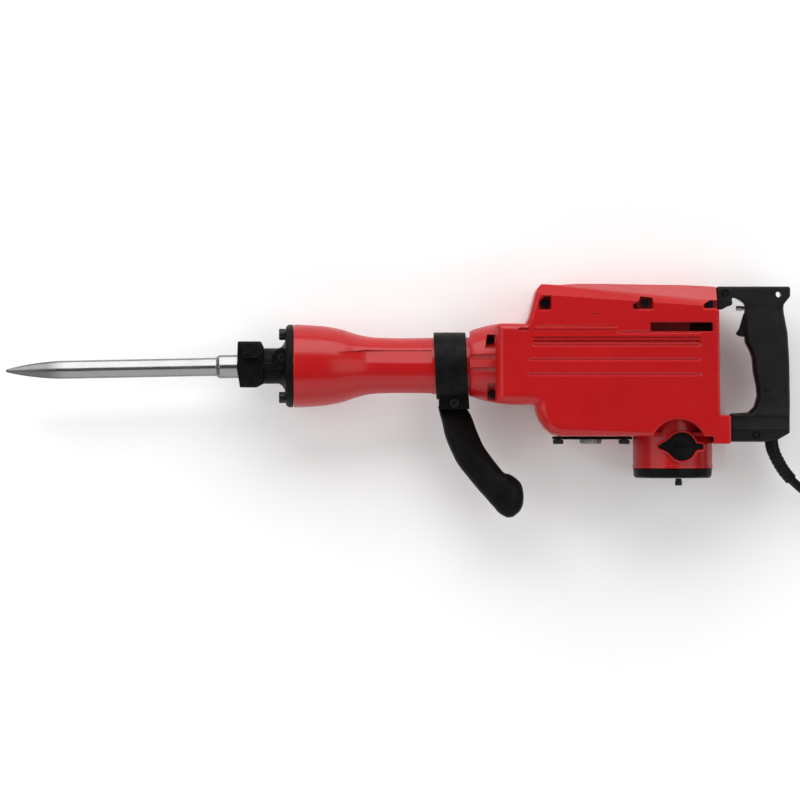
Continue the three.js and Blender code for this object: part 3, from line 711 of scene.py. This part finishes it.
boot = cord_guard()
plug_piece = plug()
tie = coil_tie()
lead_points = smooth_profile(LEAD, 4) + coil_points() + smooth_profile(TAIL, 4)
lead = curve_tube("mains_lead", lead_points, CORD_D / 2)
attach(lead, "frame")
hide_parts("power_cord", "cord_coil", "cord_tail")


# ---- chisel ----
TIP_X = -250.4
BAR_FLATS, SHANK_FLATS = 19.6, 25
SHANK_START, BIT_END = -19.8, 58
PIVOT = shift(25, 0, 0)  # the middle of the holder, where the bit has its side play
DROOP = PIVOT @ spin(1.1, "Z") @ PIVOT.inverted()


def hexagon(x, flats, softness=0.28, steps=6):
    """A hexagon across the bit with a corner up. Each corner is rolled, so its edges aren't knife sharp."""
    corners = [Vector((x, y, z)) for z, y in six_corners((0, 0), flats / math.sqrt(3))]
    points = []
    for i, here in enumerate(corners):
        start, end = here.lerp(corners[i - 1], softness), here.lerp(corners[(i + 1) % 6], softness)
        points += turn_corner(start, here, end, steps)
    return points


def chisel():
    taper = smooth_profile([(TIP_X, 1), (TIP_X + 3, 4.2), (TIP_X + 17, 10.4), (TIP_X + 34, 15.5),
                            (TIP_X + 52, 18.9), (TIP_X + 62, BAR_FLATS)], 6)
    stations = [*taper, (-150, BAR_FLATS), (-80, BAR_FLATS), (SHANK_START - 5, BAR_FLATS),
                (SHANK_START - 3.6, BAR_FLATS + 0.5), (SHANK_START - 1.4, SHANK_FLATS - 1.4),
                (SHANK_START, SHANK_FLATS), (BIT_END - 3, SHANK_FLATS), (BIT_END, SHANK_FLATS - 4)]
    bar = loft([hexagon(x, flats) for x, flats in stations])
    lever_notch = box(10.4, 47.2, SHANK_FLATS / 2 - 3, 20, -20, 20)
    bar = moved(cut(bar, lever_notch), DROOP)
    piece(bar, "hex_chisel", GROUND_STEEL, "chisel_bit", body="chisel", sharp=24)


chisel()


# ---- front cover, its bolts and the stop lever ----
LEVER_X, LEVER_Y, LEVER_R = 18.8, 17, 6.6
BOLT_SPOTS = [(y * 34, z * 17) for y in (1, -1) for z in (1, -1)]
DETENT = (47.6, 9)  # X and Y of the screw that keeps the lever in place


def bolt_holes(low, high):
    return [rod("x", low, high, 4.2, spot, 32) for spot in BOLT_SPOTS]


def front_cover():
    outline = [(0, 26.5), (-0.8, -3.6), (2.5, -23.2), (19.7, -23.2), (27.8, -19), (27.8, 19.6),
               (24.7, 26.5)]
    head = prism(outline, "z", -23.9, 23.9)
    chamfers = []
    for y, z in ((31.4, 27.6), (31.4, -27.6), (-27.8, 27.6), (-27.8, -27.6)):
        block = moved(box(-9, 34, -8, 8, -8, 8), spin(45, "X"))
        chamfers.append(moved(block, shift(0, y, z)))
    head = cut(head, *chamfers)
    neck = turned([(24, 0), (24, 19.2), (43.5, 19.2), (47, 20.6), (50, 25), (51.6, 32), (51.6, 42.2),
                   (54.4, 44.6), (59.6, 44.6), (59.6, 0)], segments=ROUND)
    boss = rod("z", 5, 25.4, 10.3, DETENT)
    web = box(27, 52, -3, 3, -24, 24)
    body = melt(join(head, neck, boss, web), 0.62, 5)
    ridge = box(-2, 25, 6.9, 8.3, 22.5, 30)
    body = cut(body, rod("x", -5, 27.3, 15.2), rod("x", 27, 65, 16.5), ridge,
               rod("z", -40, 40, LEVER_R + GAP, (LEVER_X, LEVER_Y)), rod("z", 22.5, 30, 5.2, DETENT),
               *bolt_holes(40, 70))
    piece(body, "front_cover_casting", CAST, "front_cover", sharp=40)


def socket_screw(axis, start, sign, head_r, head_h, shank_r, length, centre):
    """A cap screw: bevelled head with a hexagon socket. It starts at its head's top and goes along sign."""
    profile = [(0, 0), (0, head_r - 0.7), (0.25, head_r - 0.25), (0.8, head_r), (head_h, head_r),
               (head_h, shank_r), (length - 1, shank_r), (length, shank_r - 0.8), (length, 0)]
    body = turned([(start + sign * along, radius) for along, radius in profile], axis, centre, 48)
    low, high = sorted((start - sign, start + sign * head_h * 0.6))
    return cut(body, prism(six_corners(centre, head_r * 0.52), axis, low, high))


def fit_screw(name, *shape, side=1, nodes=()):
    """A blackened screw on the frame. Its shape is what socket_screw takes."""
    piece(on_side(socket_screw(*shape), side), name, BOLT_STEEL, *nodes)


def stop_lever():
    outline = arc(LEVER_X, LEVER_Y, 7.7, -90, 90, 16) + [(9.2, LEVER_Y + 7.7)]
    outline += arc(9.4, LEVER_Y + 3.4, 4.3, 90, 180, 6) + [(5.1, LEVER_Y - 5.4), (7.2, LEVER_Y - 7.7)]
    knob = round_edges(prism(outline, "z", 24.4, 33), 1.7, 4, 30)
    thumb = prism(arc(9.5, LEVER_Y, 2.6, 0, 345, 23), "z", 32.2, 40)
    shaft = rod("z", -29, 25.5, LEVER_R, (LEVER_X, LEVER_Y))
    flat = box(0, 40, LEVER_Y + 4.2, 40, -16, 16)
    washer = rod("z", -29, -24.4, 8.9, (LEVER_X, LEVER_Y))
    body = cut(join(knob, cut(shaft, flat), washer), thumb)
    piece(body, "stop_lever_forging", CAST, "stop_lever", body="stop_lever")


front_cover()
stop_lever()
for number, spot in enumerate(BOLT_SPOTS, 1):
    node = f"front_cover_bolt_{number}"
    fit_screw(f"front_bolt_{number}", "x", 44.4, 1, 6, 6.7, 3.9, 34.6, spot, nodes=[node])
fit_screw("lever_detent_screw", "z", 25.2, -1, 4.6, 2.4, 3.4, 8, DETENT)


# ---- barrel ----
BARREL_PROFILE = [
    (60.2, 43.6), (61.3, 44.7), (70, 44.5), (78, 44), (97, 42.3), (113, 39), (126, 34.8), (138, 32),
    (150, 30.7), (169, 30.1), (190, 30.1), (210, 30.4), (230, 30.9),
]
LINER_BORE = 25.8
FLUTE = [  # X, half width, height of the floor above the axis
    (104, 0.3, 41.6), (112, 1.8, 38.8), (122, 3.8, 34.9), (131, 5.4, 31.2),
    (138, 7.25, 28.6), (141, 7.25, 28.1), (206, 7.25, 28.1), (209, 7.25, 28.6),
]


def flute(angle):
    """A shallow flat-bottomed channel along the waist that runs out to a point where the barrel flares."""
    sections = [[(x, -half, floor), (x, half, floor), (x, half + 1.5, 60), (x, -half - 1.5, 60)]
                for x, half, floor in FLUTE]
    return moved(loft(sections), spin(angle, "X"))


def barrel():
    outside = smooth_profile(BARREL_PROFILE, 5) + [(248, 31.2), (275, 31.2)]
    inside = [(275, LINER_BORE), (112.3, LINER_BORE), (112.3, 20.8), (66.3, 20.8), (66.3, 24.3),
              (60.2, 24.3)]
    body = turned(outside + inside, segments=FINE)
    body = cut(body, *[flute(angle) for angle in (-20, -160, 90)], *bolt_holes(55, 80))
    body = round_edges(body, 0.7, 3, 24)
    piece(body, "barrel_casting", RED, "cylinder_case", sharp=28)


barrel()


# ---- side handle: strap, clamp lug, moulded grip and clamp bolt ----
LEAN = Matrix(((1, -0.045, 0, 0), (0, 1, 0, 0), (0, 0, 1, 0), (0, 0, 0, 1)))  # the strap leans forward
STRAP_BORE = 31.7
CLAMP_Y = -40.2
GRIP_LINE = [  # centre X, Y, half width, half height, heading
    (231.8, -41, 16.4, 11.6, -82), (233.4, -47.5, 16.6, 13, -79), (236.1, -56, 16.9, 14.2, -75),
    (239.7, -71, 17.1, 14.5, -70), (245.3, -85, 17, 14.5, -64), (251.3, -96.8, 17, 14.5, -58),
    (262.1, -111.1, 16.6, 14.5, -52), (269.1, -119.9, 16.5, 14.5, -51.5), (274, -125.4, 16.6, 14.6, -51.5),
    (278.8, -128.1, 18.2, 14.8, -51.5), (283.6, -132.1, 19.2, 15, -51.5), (288.6, -137.3, 19.6, 15, -51.5),
    (291.3, -141.2, 19, 14.8, -51.5), (293.4, -145.6, 17.9, 14.4, -51.5), (295.8, -150.4, 15.6, 13.2, -51.5),
    (297.9, -155.1, 12.2, 11, -51.5), (299.1, -157.9, 9, 8.2, -51.5), (300, -159.9, 4.4, 4.5, -51.5),
]


def side_handle():
    strap = ring("x", 212.2, 246.7, STRAP_BORE, 36.2, segments=ROUND)
    lug = round_edges(box(214.6, 247.3, -46.6, -31, -11.8, 11.8), 1.2, 4)
    strap = round_edges(strap, 1.1, 3)
    band = join(strap, lug)
    band = cut(band, rod("x", 200, 260, STRAP_BORE, segments=ROUND), box(200, 260, -60, -30, -1.2, 1.2),
               rod("z", -20, 20, 4.3, (231.4, CLAMP_Y), 32), rod("z", 10.4, 20, 6.4, (231.4, CLAMP_Y), 40))
    piece(moved(band, LEAN), "handle_strap", CAST, "side_handle_band", body="side_handle")

    line = smooth_profile(GRIP_LINE, 5)
    shapes = [(across, up) for _, _, across, up, _ in line]
    grip = swept([(x, y, 0) for x, y, _, _, _ in line],
                 lambda t: superellipse(*shapes[round(t * (len(shapes) - 1))], 2.5, 44),
                 [heading for _, _, _, _, heading in line])
    grip = cut(grip, half_space((298, -127, 11.4), (0.4, 0.46, 0.79)))
    piece(grip, "handle_grip", GRIP_RUBBER, "side_handle_grip", body="side_handle", sharp=45)
    at = (233.2, CLAMP_Y)
    nut = prism(six_corners(at, 6.4), "z", -15.5, -12.3)
    bolt = join(socket_screw("z", 16.5, -1, 5.3, 4.2, 3.9, 29, at), nut)
    piece(bolt, "handle_clamp_bolt", BOLT_STEEL, "side_handle_bolt", body="side_handle")


side_handle()


# ---- gear case: ribbed neck and the chamber that holds the crank ----
CRANK_X, IDLER_X = 375.15, 433.9
NECK_RISE = 2.6  # the neck's outside is set this far towards the top cover


def gear_case():
    profile = [(249.6, 30), (249.6, 34.6), (250.6, 35.4), (254, 36.8), (259, 38.4), (264, 39.7),
               (270, 41.2), (276.6, 42.3), (280.3, 42.6), (280.3, 30)]
    neck = turned(profile, "x", (NECK_RISE, 0), FINE)
    front_rim = shift(250, 0, 35.6)
    climb = front_rim @ spin(-14, "Y") @ front_rim.inverted()
    near_cuts = [moved(slot(246, 283, y, width, 2.6, 35), climb) for y, width in ((9.4, 6.4), (-4.4, 6))]
    pocket = recess(rounded([(266, 19.5), (276.6, 19.5), (276.6, 33.6), (268, 33.6)], 1.5), 12, 37, 1.3)
    sump = recess(rounded(four_corners(268.6, 280, -38, -18.6), 1.2), 12, 40, 0.8)
    neck = cut(neck, *near_cuts, pocket, sump)
    sleeve = rod("x", 275.6, 330, 33, segments=96)
    chamber = prism([(327, 58), (327, -50), (329.5, -58), (334, -64), (342.5, -71.3), (404.9, -71.3),
                     (404.9, 58)], "z", -42, 42)
    bridge = box(402, 486, 36.8, 47.6, -30, 30)
    idler_block = box(402, 452, 24.6, 47.6, -17, 17)
    room = prism([(331.5, 24.5), (331.5, -48), (334, -56), (338.5, -62), (344, -66), (344, -80),
                  (402.2, -80), (402.2, 24.5)], "z", -38, 38)
    body = join(neck, sleeve, chamber, bridge, idler_block)
    body = cut(body, room, rod("x", 240, 275.3, 31.6, segments=ROUND),
               rod("x", 270, 335, LINER_BORE, segments=96),
               rod("y", 20, 70, 21.3, (CRANK_X, 0)), rod("y", 20, 70, 13.3, (IDLER_X, 0)),
               rod("y", 20, 70, 13.3, (MOTOR_X, 0)))
    piece(body, "gear_case_casting", RED_CASE, "crank_case", sharp=30)
    fit_screw("neck_screw", "z", 21, -1, 3.4, 3, 2.2, 6, (271, 26.5))
    # the blackened screw in the sump pocket is painted shade: it is there to darken the recess
    fit_screw("sump_shade_screw", "z", 20, -1, 4.3, 3, 2.6, 6, (273.8, -31.2))


gear_case()


# ---- side covers ----
COVER_OUTLINE = [
    (277, -40), (294, -42), (319.5, -42), (321, -51), (324, -59), (330, -67.5), (338.5, -74), (345, -75.6),
    (510.8, -75.6), (510.8, -83.6), (529.3, -83.6), (529.3, -52.9), (518, -52.9), (516.6, 60.2),
    (514.5, 60.2), (514.5, 85.2), (480, 87), (444, 87.4), (390, 88.1), (365, 88.1), (344, 86.8),
    (325.8, 87.7), (320, 80), (316, 65), (312.8, 52), (309, 45.3), (284, 45.6), (277, 44.6),
]
COVER_ROOM = [
    (284, -36.4), (324, -38), (325.5, -50), (328, -57.5), (333, -64.5), (341, -71.6), (506, -71.6),
    (506, -79.6), (514, -79.6), (514, 50), (510.5, 56), (510.5, 81.3), (480, 83), (390, 84.2),
    (345, 82.8), (327.6, 83.4), (324, 79), (320, 64), (316.5, 51), (311.5, 41.3), (284, 41.3),
]
COVER_SCREWS = [(330.4, 67), (437.6, 67), (507.4, 66)]
PLUG_X = 380  # of the grease plug
CAP_SHAPE = smooth_closed([  # a round cap with a pointed ear in front and a blunt one behind
    (15.2, 4), (12.4, 8.6), (7.4, 13.4), (0, 15.2), (-7.4, 13.4), (-12.4, 9.4), (-17.3, 5.6), (-22.5, 2.6),
    (-25.4, 0), (-22.5, -2.4), (-17.3, -4.6), (-12.4, -8.2), (-7.4, -13.2), (0, -15.2), (7.4, -13.2),
    (12.4, -8.6), (15.2, -4), (18.5, -2.9), (22.2, -2.5), (22.6, 0), (22.2, 2.5), (18.5, 2.9),
])


def cover_roll(point):
    """How far the cover's edge is rolled over where it meets the side face."""
    x, y = point
    if y < -40 and x < 345:
        return 13  # front lower corner
    if x < 279:
        return 12  # slope down to the neck
    if y < -72 and x < 500:
        return 9  # along the bottom
    if y < 46.5 and x < 322:
        return 8  # neck, above and below
    if x < 330:
        return 6  # front slope
    return 2.2 if x > 505 else 3


def cover_recesses(face):
    """Cutters for the screw pockets, the two slots and the cast mark."""
    pockets = [
        [(323.8, 60.2), (336.2, 60.2), (336.2, 74.6), (329, 74.6), (323.8, 69)],
        [(424.8, 60.8), (445.4, 60.8), (445.4, 73), (432, 74.4), (430.4, 68.4), (424.8, 66)],
        [(500, 61.6), (520, 61.6), (520, 70.4), (507, 70.4), (500, 66)],
    ]
    small_slot = four_corners(301.4, 312.4, 37.8, 41)
    vent = four_corners(443.2, 509.4, 37, 46.5)
    mark = [(381, 55.2), (386, 56.4), (391, 55.2), (386, 54.6)]
    return [*[recess(rounded(pocket, 1.2), face - 17, face, 1.5) for pocket in pockets],
            recess(rounded(small_slot, 0.8), face - 3, face, 0.8),
            recess(rounded(vent, 1), face - 9, face, 1.3), recess(mark, face - 1.2, face, 0.3)]


def facing_up(normal):
    return normal.normalized() if normal.z > 0 else -normal.normalized()


def side_cover(side):
    outline = rounded(COVER_OUTLINE, 2.6, 3)
    body = crowned(outline, GAP / 2, HALF_WIDTH, cover_roll)
    gridded(body, range(290, 520, 14), (-60, -46, -30, -18, -4, 12, 24, 30, 50, 58, 62, 76))
    # the top falls away in two planes: a narrow one that catches the light and a steeper one above it
    edge, edge_end = Vector((499, 64.3, 60)), Vector((345, 75, 60))
    crease = Vector((499, 70.9, 53.5))
    bright = facing_up((edge_end - edge).cross(crease - edge))
    steep = facing_up((Vector((371, 84, 48.6)) - crease).cross(Vector((499, 87, 14)) - crease))
    body = cut(body, half_space(edge, bright), half_space(crease, steep))
    wall = 4
    room = prism(COVER_ROOM, "z", -1, HALF_WIDTH - wall)
    room = cut(room, half_space(edge - wall * Vector((0, 0.6, 0.8)), bright),
               half_space(crease - wall * Vector((0, 0.8, 0.6)), steep))
    posts = [rod("z", 20, HALF_WIDTH - 5, 10, spot, 40) for spot in COVER_SCREWS]
    body = cut(body, cut(room, *posts))
    grooves = [shape(*sizes, HALF_WIDTH) for shape, *sizes in (
        (groove, 319, 408, 41.9, 2, 0.8), (slot, 317, 406, 38.6, 1.2, 0.9),
        (groove, 406, 497, 35.5, 2.4, 1.3), (slot, 317, 497, 30.4, 1.7, 2.2),
        (slot, 317, 497, 26.7, 2.5, 2.8), (groove, 316, 497, 21.9, 2.4, 1.3),
        (groove, 312, 497, 6.4, 2.4, 1.3), (groove, 311, 498, -9.7, 2.4, 1.3),
    )]
    body = cut(body, *grooves, *cover_recesses(HALF_WIDTH))
    # the bay round the brush cap has a sloping wall and a rolled edge
    profile = [(41.5, 0), (41.5, 26.6), (46, 26.6), (55.5, 28.6), (58, 29.5), (59.4, 30.7), (60.1, 32.6),
               (61, 36), (80, 36), (80, 0)]
    cap_bay = turned(profile, "z", (MOTOR_X + 5, BRUSH_Y), ROUND)
    neck_seat = rod("x", 260, 280.6, 42.9, (NECK_RISE, 0), FINE)
    motor_seat = rod("y", -100, -50, MOTOR_R + GAP, (MOTOR_X, 0), FINE)
    body = cut(body, rod("x", 260, 290, 33.4, segments=ROUND), neck_seat, motor_seat, cap_bay,
               rod("y", -80, -65, 9.4, (PLUG_X, 0), 48))
    name = f"{SIDES[side]}_cover"
    piece(on_side(body, side), f"{name}_shell", RED, name, sharp=26)
    for number, spot in enumerate(COVER_SCREWS, 1):
        fit_screw(f"{name}_screw_{number}", "z", HALF_WIDTH - 13, -1, 4.2, 3.6, 2.4, 14, spot, side=side)


for side in SIDES:
    side_cover(side)


# ---- motor housing, brush caps and tail cover ----
MOTOR_BORE = 38.2
RIM_TOP = 46.2  # of the rim round each brush cap, above the motor's axis


def at_cap(obj, side):
    """A shape made round the near cap's centre, brought to its place on either side."""
    return moved(on_side(obj, side), shift(CAP_X, BRUSH_Y, 0))


def motor_housing():
    shell = ring("y", -110, -2, MOTOR_BORE, MOTOR_R, (MOTOR_X, 0), FINE)
    lip = ring("y", -110, -106.6, 41, MOTOR_R + 0.5, (MOTOR_X, 0), FINE)
    rims, wells = [], []
    for side in SIDES:
        rims.append(at_cap(crowned(offset(CAP_SHAPE, 2.4), 24, RIM_TOP, lambda point: 1.7, 4), side))
        wells.append(at_cap(recess(offset(CAP_SHAPE, GAP), 43, RIM_TOP, 0.5), side))
    body = cut(join(shell, lip, *rims), rod("y", -104, -40, MOTOR_BORE, (MOTOR_X, 0), FINE), *wells,
               rod("z", -60, 60, 7, (MOTOR_X, BRUSH_Y), 32))
    piece(body, "motor_shell", RED, "motor_housing", sharp=30)


def brush_caps():
    for side, name in SIDES.items():
        cap = crowned(CAP_SHAPE, 43.15, 44.9, lambda point: 0.7, 3)
        disc = turned([(44, 0), (44, 12), (45.4, 11.6), (45.8, 10.8), (45.8, 0)], "z", segments=64)
        screwdriver_slot = box(-8.4, 8.4, -1.1, 1.1, 44.6, 50)
        cap = at_cap(cut(join(cap, disc), screwdriver_slot), side)
        piece(cap, f"brush_cap_{name}_moulding", CAP_PLASTIC, f"brush_cap_{name}")


def tail_cover():
    outside = [(-120.6, 0), (-120.6, 38.5), (-120.2, 40.2), (-119, 41.5), (-117, 42.1), (-110.4, 42.6),
               (-110.2, 42.2), (-110.2, 37)]
    inside = [(-115, 37), (-115, 14.5), (-99.5, 14.5), (-99.5, 11.3), (-113, 11.3), (-113, 0)]
    lid = turned(outside + inside, "y", (MOTOR_X, 0), FINE)
    vents = []
    for i in range(12):
        around = shift(MOTOR_X, 0, 0) @ spin(30 * i + 15, "Y")
        vents.append(moved(round_edges(box(20, 32, -130, -112, -1.8, 1.8), 1.5, 3, 40), around))
    lid = cut(lid, *vents, ring("y", -125, -119.4, 15, 16.4, (MOTOR_X, 0)))
    piece(lid, "tail_cover_moulding", CAP_PLASTIC, "tail_cover", sharp=28)
    spot = (MOTOR_X + 6.4, 0)
    fit_screw("tail_screw", "y", -128.8, 1, 3.8, 4.5, 3.4, 7.6, spot, nodes=["tail_cover_screw"])


motor_housing()
brush_caps()
tail_cover()


# ---- plate, plug and screws under the gear case ----
def base_plate():
    plate = prism(rounded(four_corners(339, 424, -34, 34), 5), "y", -79, -75.9)
    plate = round_edges(cut(plate, rod("y", -90, -70, 12.5, (PLUG_X, 0), 64)), 0.7, 3)
    piece(plate, "base_plate_casting", CAST, "base_plate")
    cap = turned([(-84, 0), (-84, 9.8), (-83.6, 10.9), (-82.6, 11.8), (-81, 12), (-75.9, 12), (-75.9, 9),
                  (-72, 9), (-72, 0)], "y", (PLUG_X, 0), 96)
    knurls = [rod("y", -90, -79, 1.5, spot, 20) for spot in arc(PLUG_X, 0, 12.6, 0, 337.5, 15)]
    cap = cut(cap, prism(six_corners((PLUG_X, 0), 6), "y", -90, -78.5), *knurls)
    piece(cap, "grease_plug_cap", SCREW_STEEL, "grease_plug")
    for number, spot in enumerate([(345, 27), (345, -27), (416.2, 27), (416.2, -27)], 1):
        fit_screw(f"base_screw_{number}", "y", -84, 1, 5.2, 4.5, 3, 8, spot)


base_plate()


# ---- rear handle: two moulded halves, the trigger and its lock pin ----
HANDLE_HALF = 20
HANDLE_OUTLINE = [
    (514.8, 60.8), (521.4, 60.8), (526, 63.5), (531, 65), (532.5, 67.6), (531.3, 72.5), (534.3, 73.7),
    (539, 71.7), (545, 67.6), (546.2, 65), (546.2, 25.4), (550.5, 18), (553.7, 8.6), (555.3, -7),
    (558.4, -23), (559.2, -32.6), (556, -43.6), (549.7, -49.9), (529.6, -51.3), (529.6, -81.7),
    (567, -81.7), (582, -79), (594, -72), (594.4, -38), (593.6, 8.6), (591.8, 35.6), (587.4, 59), (587.4, 66),
    (594.5, 75), (594.5, 85.5), (514.8, 85.5),
]
HANDLE_SCREWS = [(558, -74.6), (524, 78), (570, -24)]
LOCK_PIN = (62.2, 0)  # Y and Z of the lock pin's axis


def handle_roll(point):
    """The grip is rolled well over for the hand, the two arms only a little."""
    x, y = point
    if -50 < y < 62 and 543 < x < 566:
        return 8.5
    if -70 < y < 64 and x > 580:
        return 6.5
    return 2.4


def handle_half(side):
    body = crowned(rounded(HANDLE_OUTLINE[::-1], 3, 4), GAP / 2, HANDLE_HALF, handle_roll)
    gridded(body, (540, 555, 566, 580), range(-70, 80, 10))
    top = HANDLE_HALF
    skin = top + 0.01
    hand_hollow = [(70, 24), (66, skin), (61, 18.7), (-43, 18.7), (-51.5, skin), (-52, 24)]
    arm_hollow = [(-53.2, 24), (-53.6, 18.4), (-60, 18.2), (-67.4, skin), (-67.5, 24)]
    room = [(563, -76), (588, -68), (588, 8), (583, 60), (566, 60), (559, 26), (563, -20)]
    seam = slot(531, 592, -69.6, 1.2, 0.7, top)
    trigger_room = box(530, 568, 27.5, 60.4, -1, 8.6)
    cord_hole = rod("y", -95, -60, 7.9, (574.6, 0), 48)
    hanging_hole = rod("z", -30, 30, 3.2, (582, 77), 48)
    sunk = [(10, 0), (10, 2), (top - 4, 2), (top - 4, 3.7), (top - 1, 3.7), (top + 1, 5.2), (top + 1, 0)]
    body = cut(body, prism(room, "z", -1, 15.5), prism(hand_hollow, "x", 543, 600),
               prism(arm_hollow, "x", 533.5, 600), seam, trigger_room, rod("x", 530, 563, 2.8, LOCK_PIN, 32),
               cord_hole, hanging_hole, *[turned(sunk, "z", spot, 40) for spot in HANDLE_SCREWS])
    name = SIDES[side]
    piece(on_side(body, side), f"handle_half_{name}", PLASTIC, f"handle_shell_{name}", sharp=32)
    for number, spot in enumerate(HANDLE_SCREWS, 1):
        fit_screw(f"handle_screw_{name}_{number}", "z", top - 1.6, -1, 3.3, 2.2, 1.9, 8, spot, side=side)


def trigger_and_lock():
    outline = [(545.2, 57.4), (543.6, 52), (541.9, 46), (540.2, 40.6), (536.3, 34.2), (540, 32.1),
               (546, 31.2), (560, 33), (561, 57.4)]
    lever = crowned(rounded(outline[::-1], 2, 4), None, 7.9, lambda point: 2.4 if point.x < 550 else 0.6, 4)
    ribs = [rod("z", -4.5, 4.5, 0.7, spot, 16) for spot in ((540.7, 43.4), (539.5, 40.2), (538.2, 37.4))]
    lever = cut(lever, *ribs)
    piece(lever, "trigger_lever", PLASTIC, "trigger", body="trigger", sharp=40)
    pin = turned([(536.7, 0), (536.7, 1.5), (537, 2.2), (537.8, 2.5), (543.2, 2.5), (543.6, 2.1),
                  (556, 2.1), (556, 0)], "x", LOCK_PIN, 40)
    pin = cut(pin, rod("x", 536, 537.3, 1, LOCK_PIN, 24))
    piece(pin, "lock_pin_button", STEEL, "lock_pin", body="lock_pin")


for side in SIDES:
    handle_half(side)
trigger_and_lock()


LIGHTS = [  # name, place, size, watts
    ("key", (-0.2, 3.2, 2), (5, 3), 186),
    ("dim_side", (0.1, -2.4, 1.3), (4.5, 2.4), 42),
    ("front", (-2.3, 0.1, 2.5), (2.5, 3), 36),
    ("back", (2.3, 0.1, 2.5), (2.5, 3), 36),
]
WORLD_LIGHT = 0.15
AIM = Vector((0, 0, 0.06))  # every lamp faces the middle of the hammer


def area_light(name, location, size, power):
    data = bpy.data.lights.new(name, "AREA")
    data.shape = "RECTANGLE"
    data.size, data.size_y = size
    data.energy = power
    lamp = placed(name, data)
    lamp.location = location
    lamp.rotation_euler = (AIM - lamp.location).to_track_quat("-Z", "Y").to_euler()
    lamp.visible_camera = False


def studio():
    floor = new_object("floor", [(-6, -6, 0), (6, -6, 0), (6, 6, 0), (-6, 6, 0)], [(0, 1, 2, 3)])
    paper, tree = material("pale_floor", (0.92, 0.92, 0.92), 0.85, Specular_IOR_Level=0.1)
    tone = mix(tree, noise_node(tree, 6, 3), (0.91, 0.91, 0.91), (0.94, 0.94, 0.94))
    tree.links.new(tone, tree.nodes["Principled BSDF"].inputs["Base Color"])
    floor.data.materials.append(paper)
    floor.location.z = -0.0002
    for light in LIGHTS:
        area_light(*light)
    world = bpy.data.worlds.new("studio")
    world.use_nodes = True
    background = world.node_tree.nodes["Background"].inputs
    background["Color"].default_value = (1, 1, 1, 1)
    background["Strength"].default_value = WORLD_LIGHT
    bpy.context.scene.world = world
    bpy.context.scene.view_settings.view_transform = "Standard"


studio()
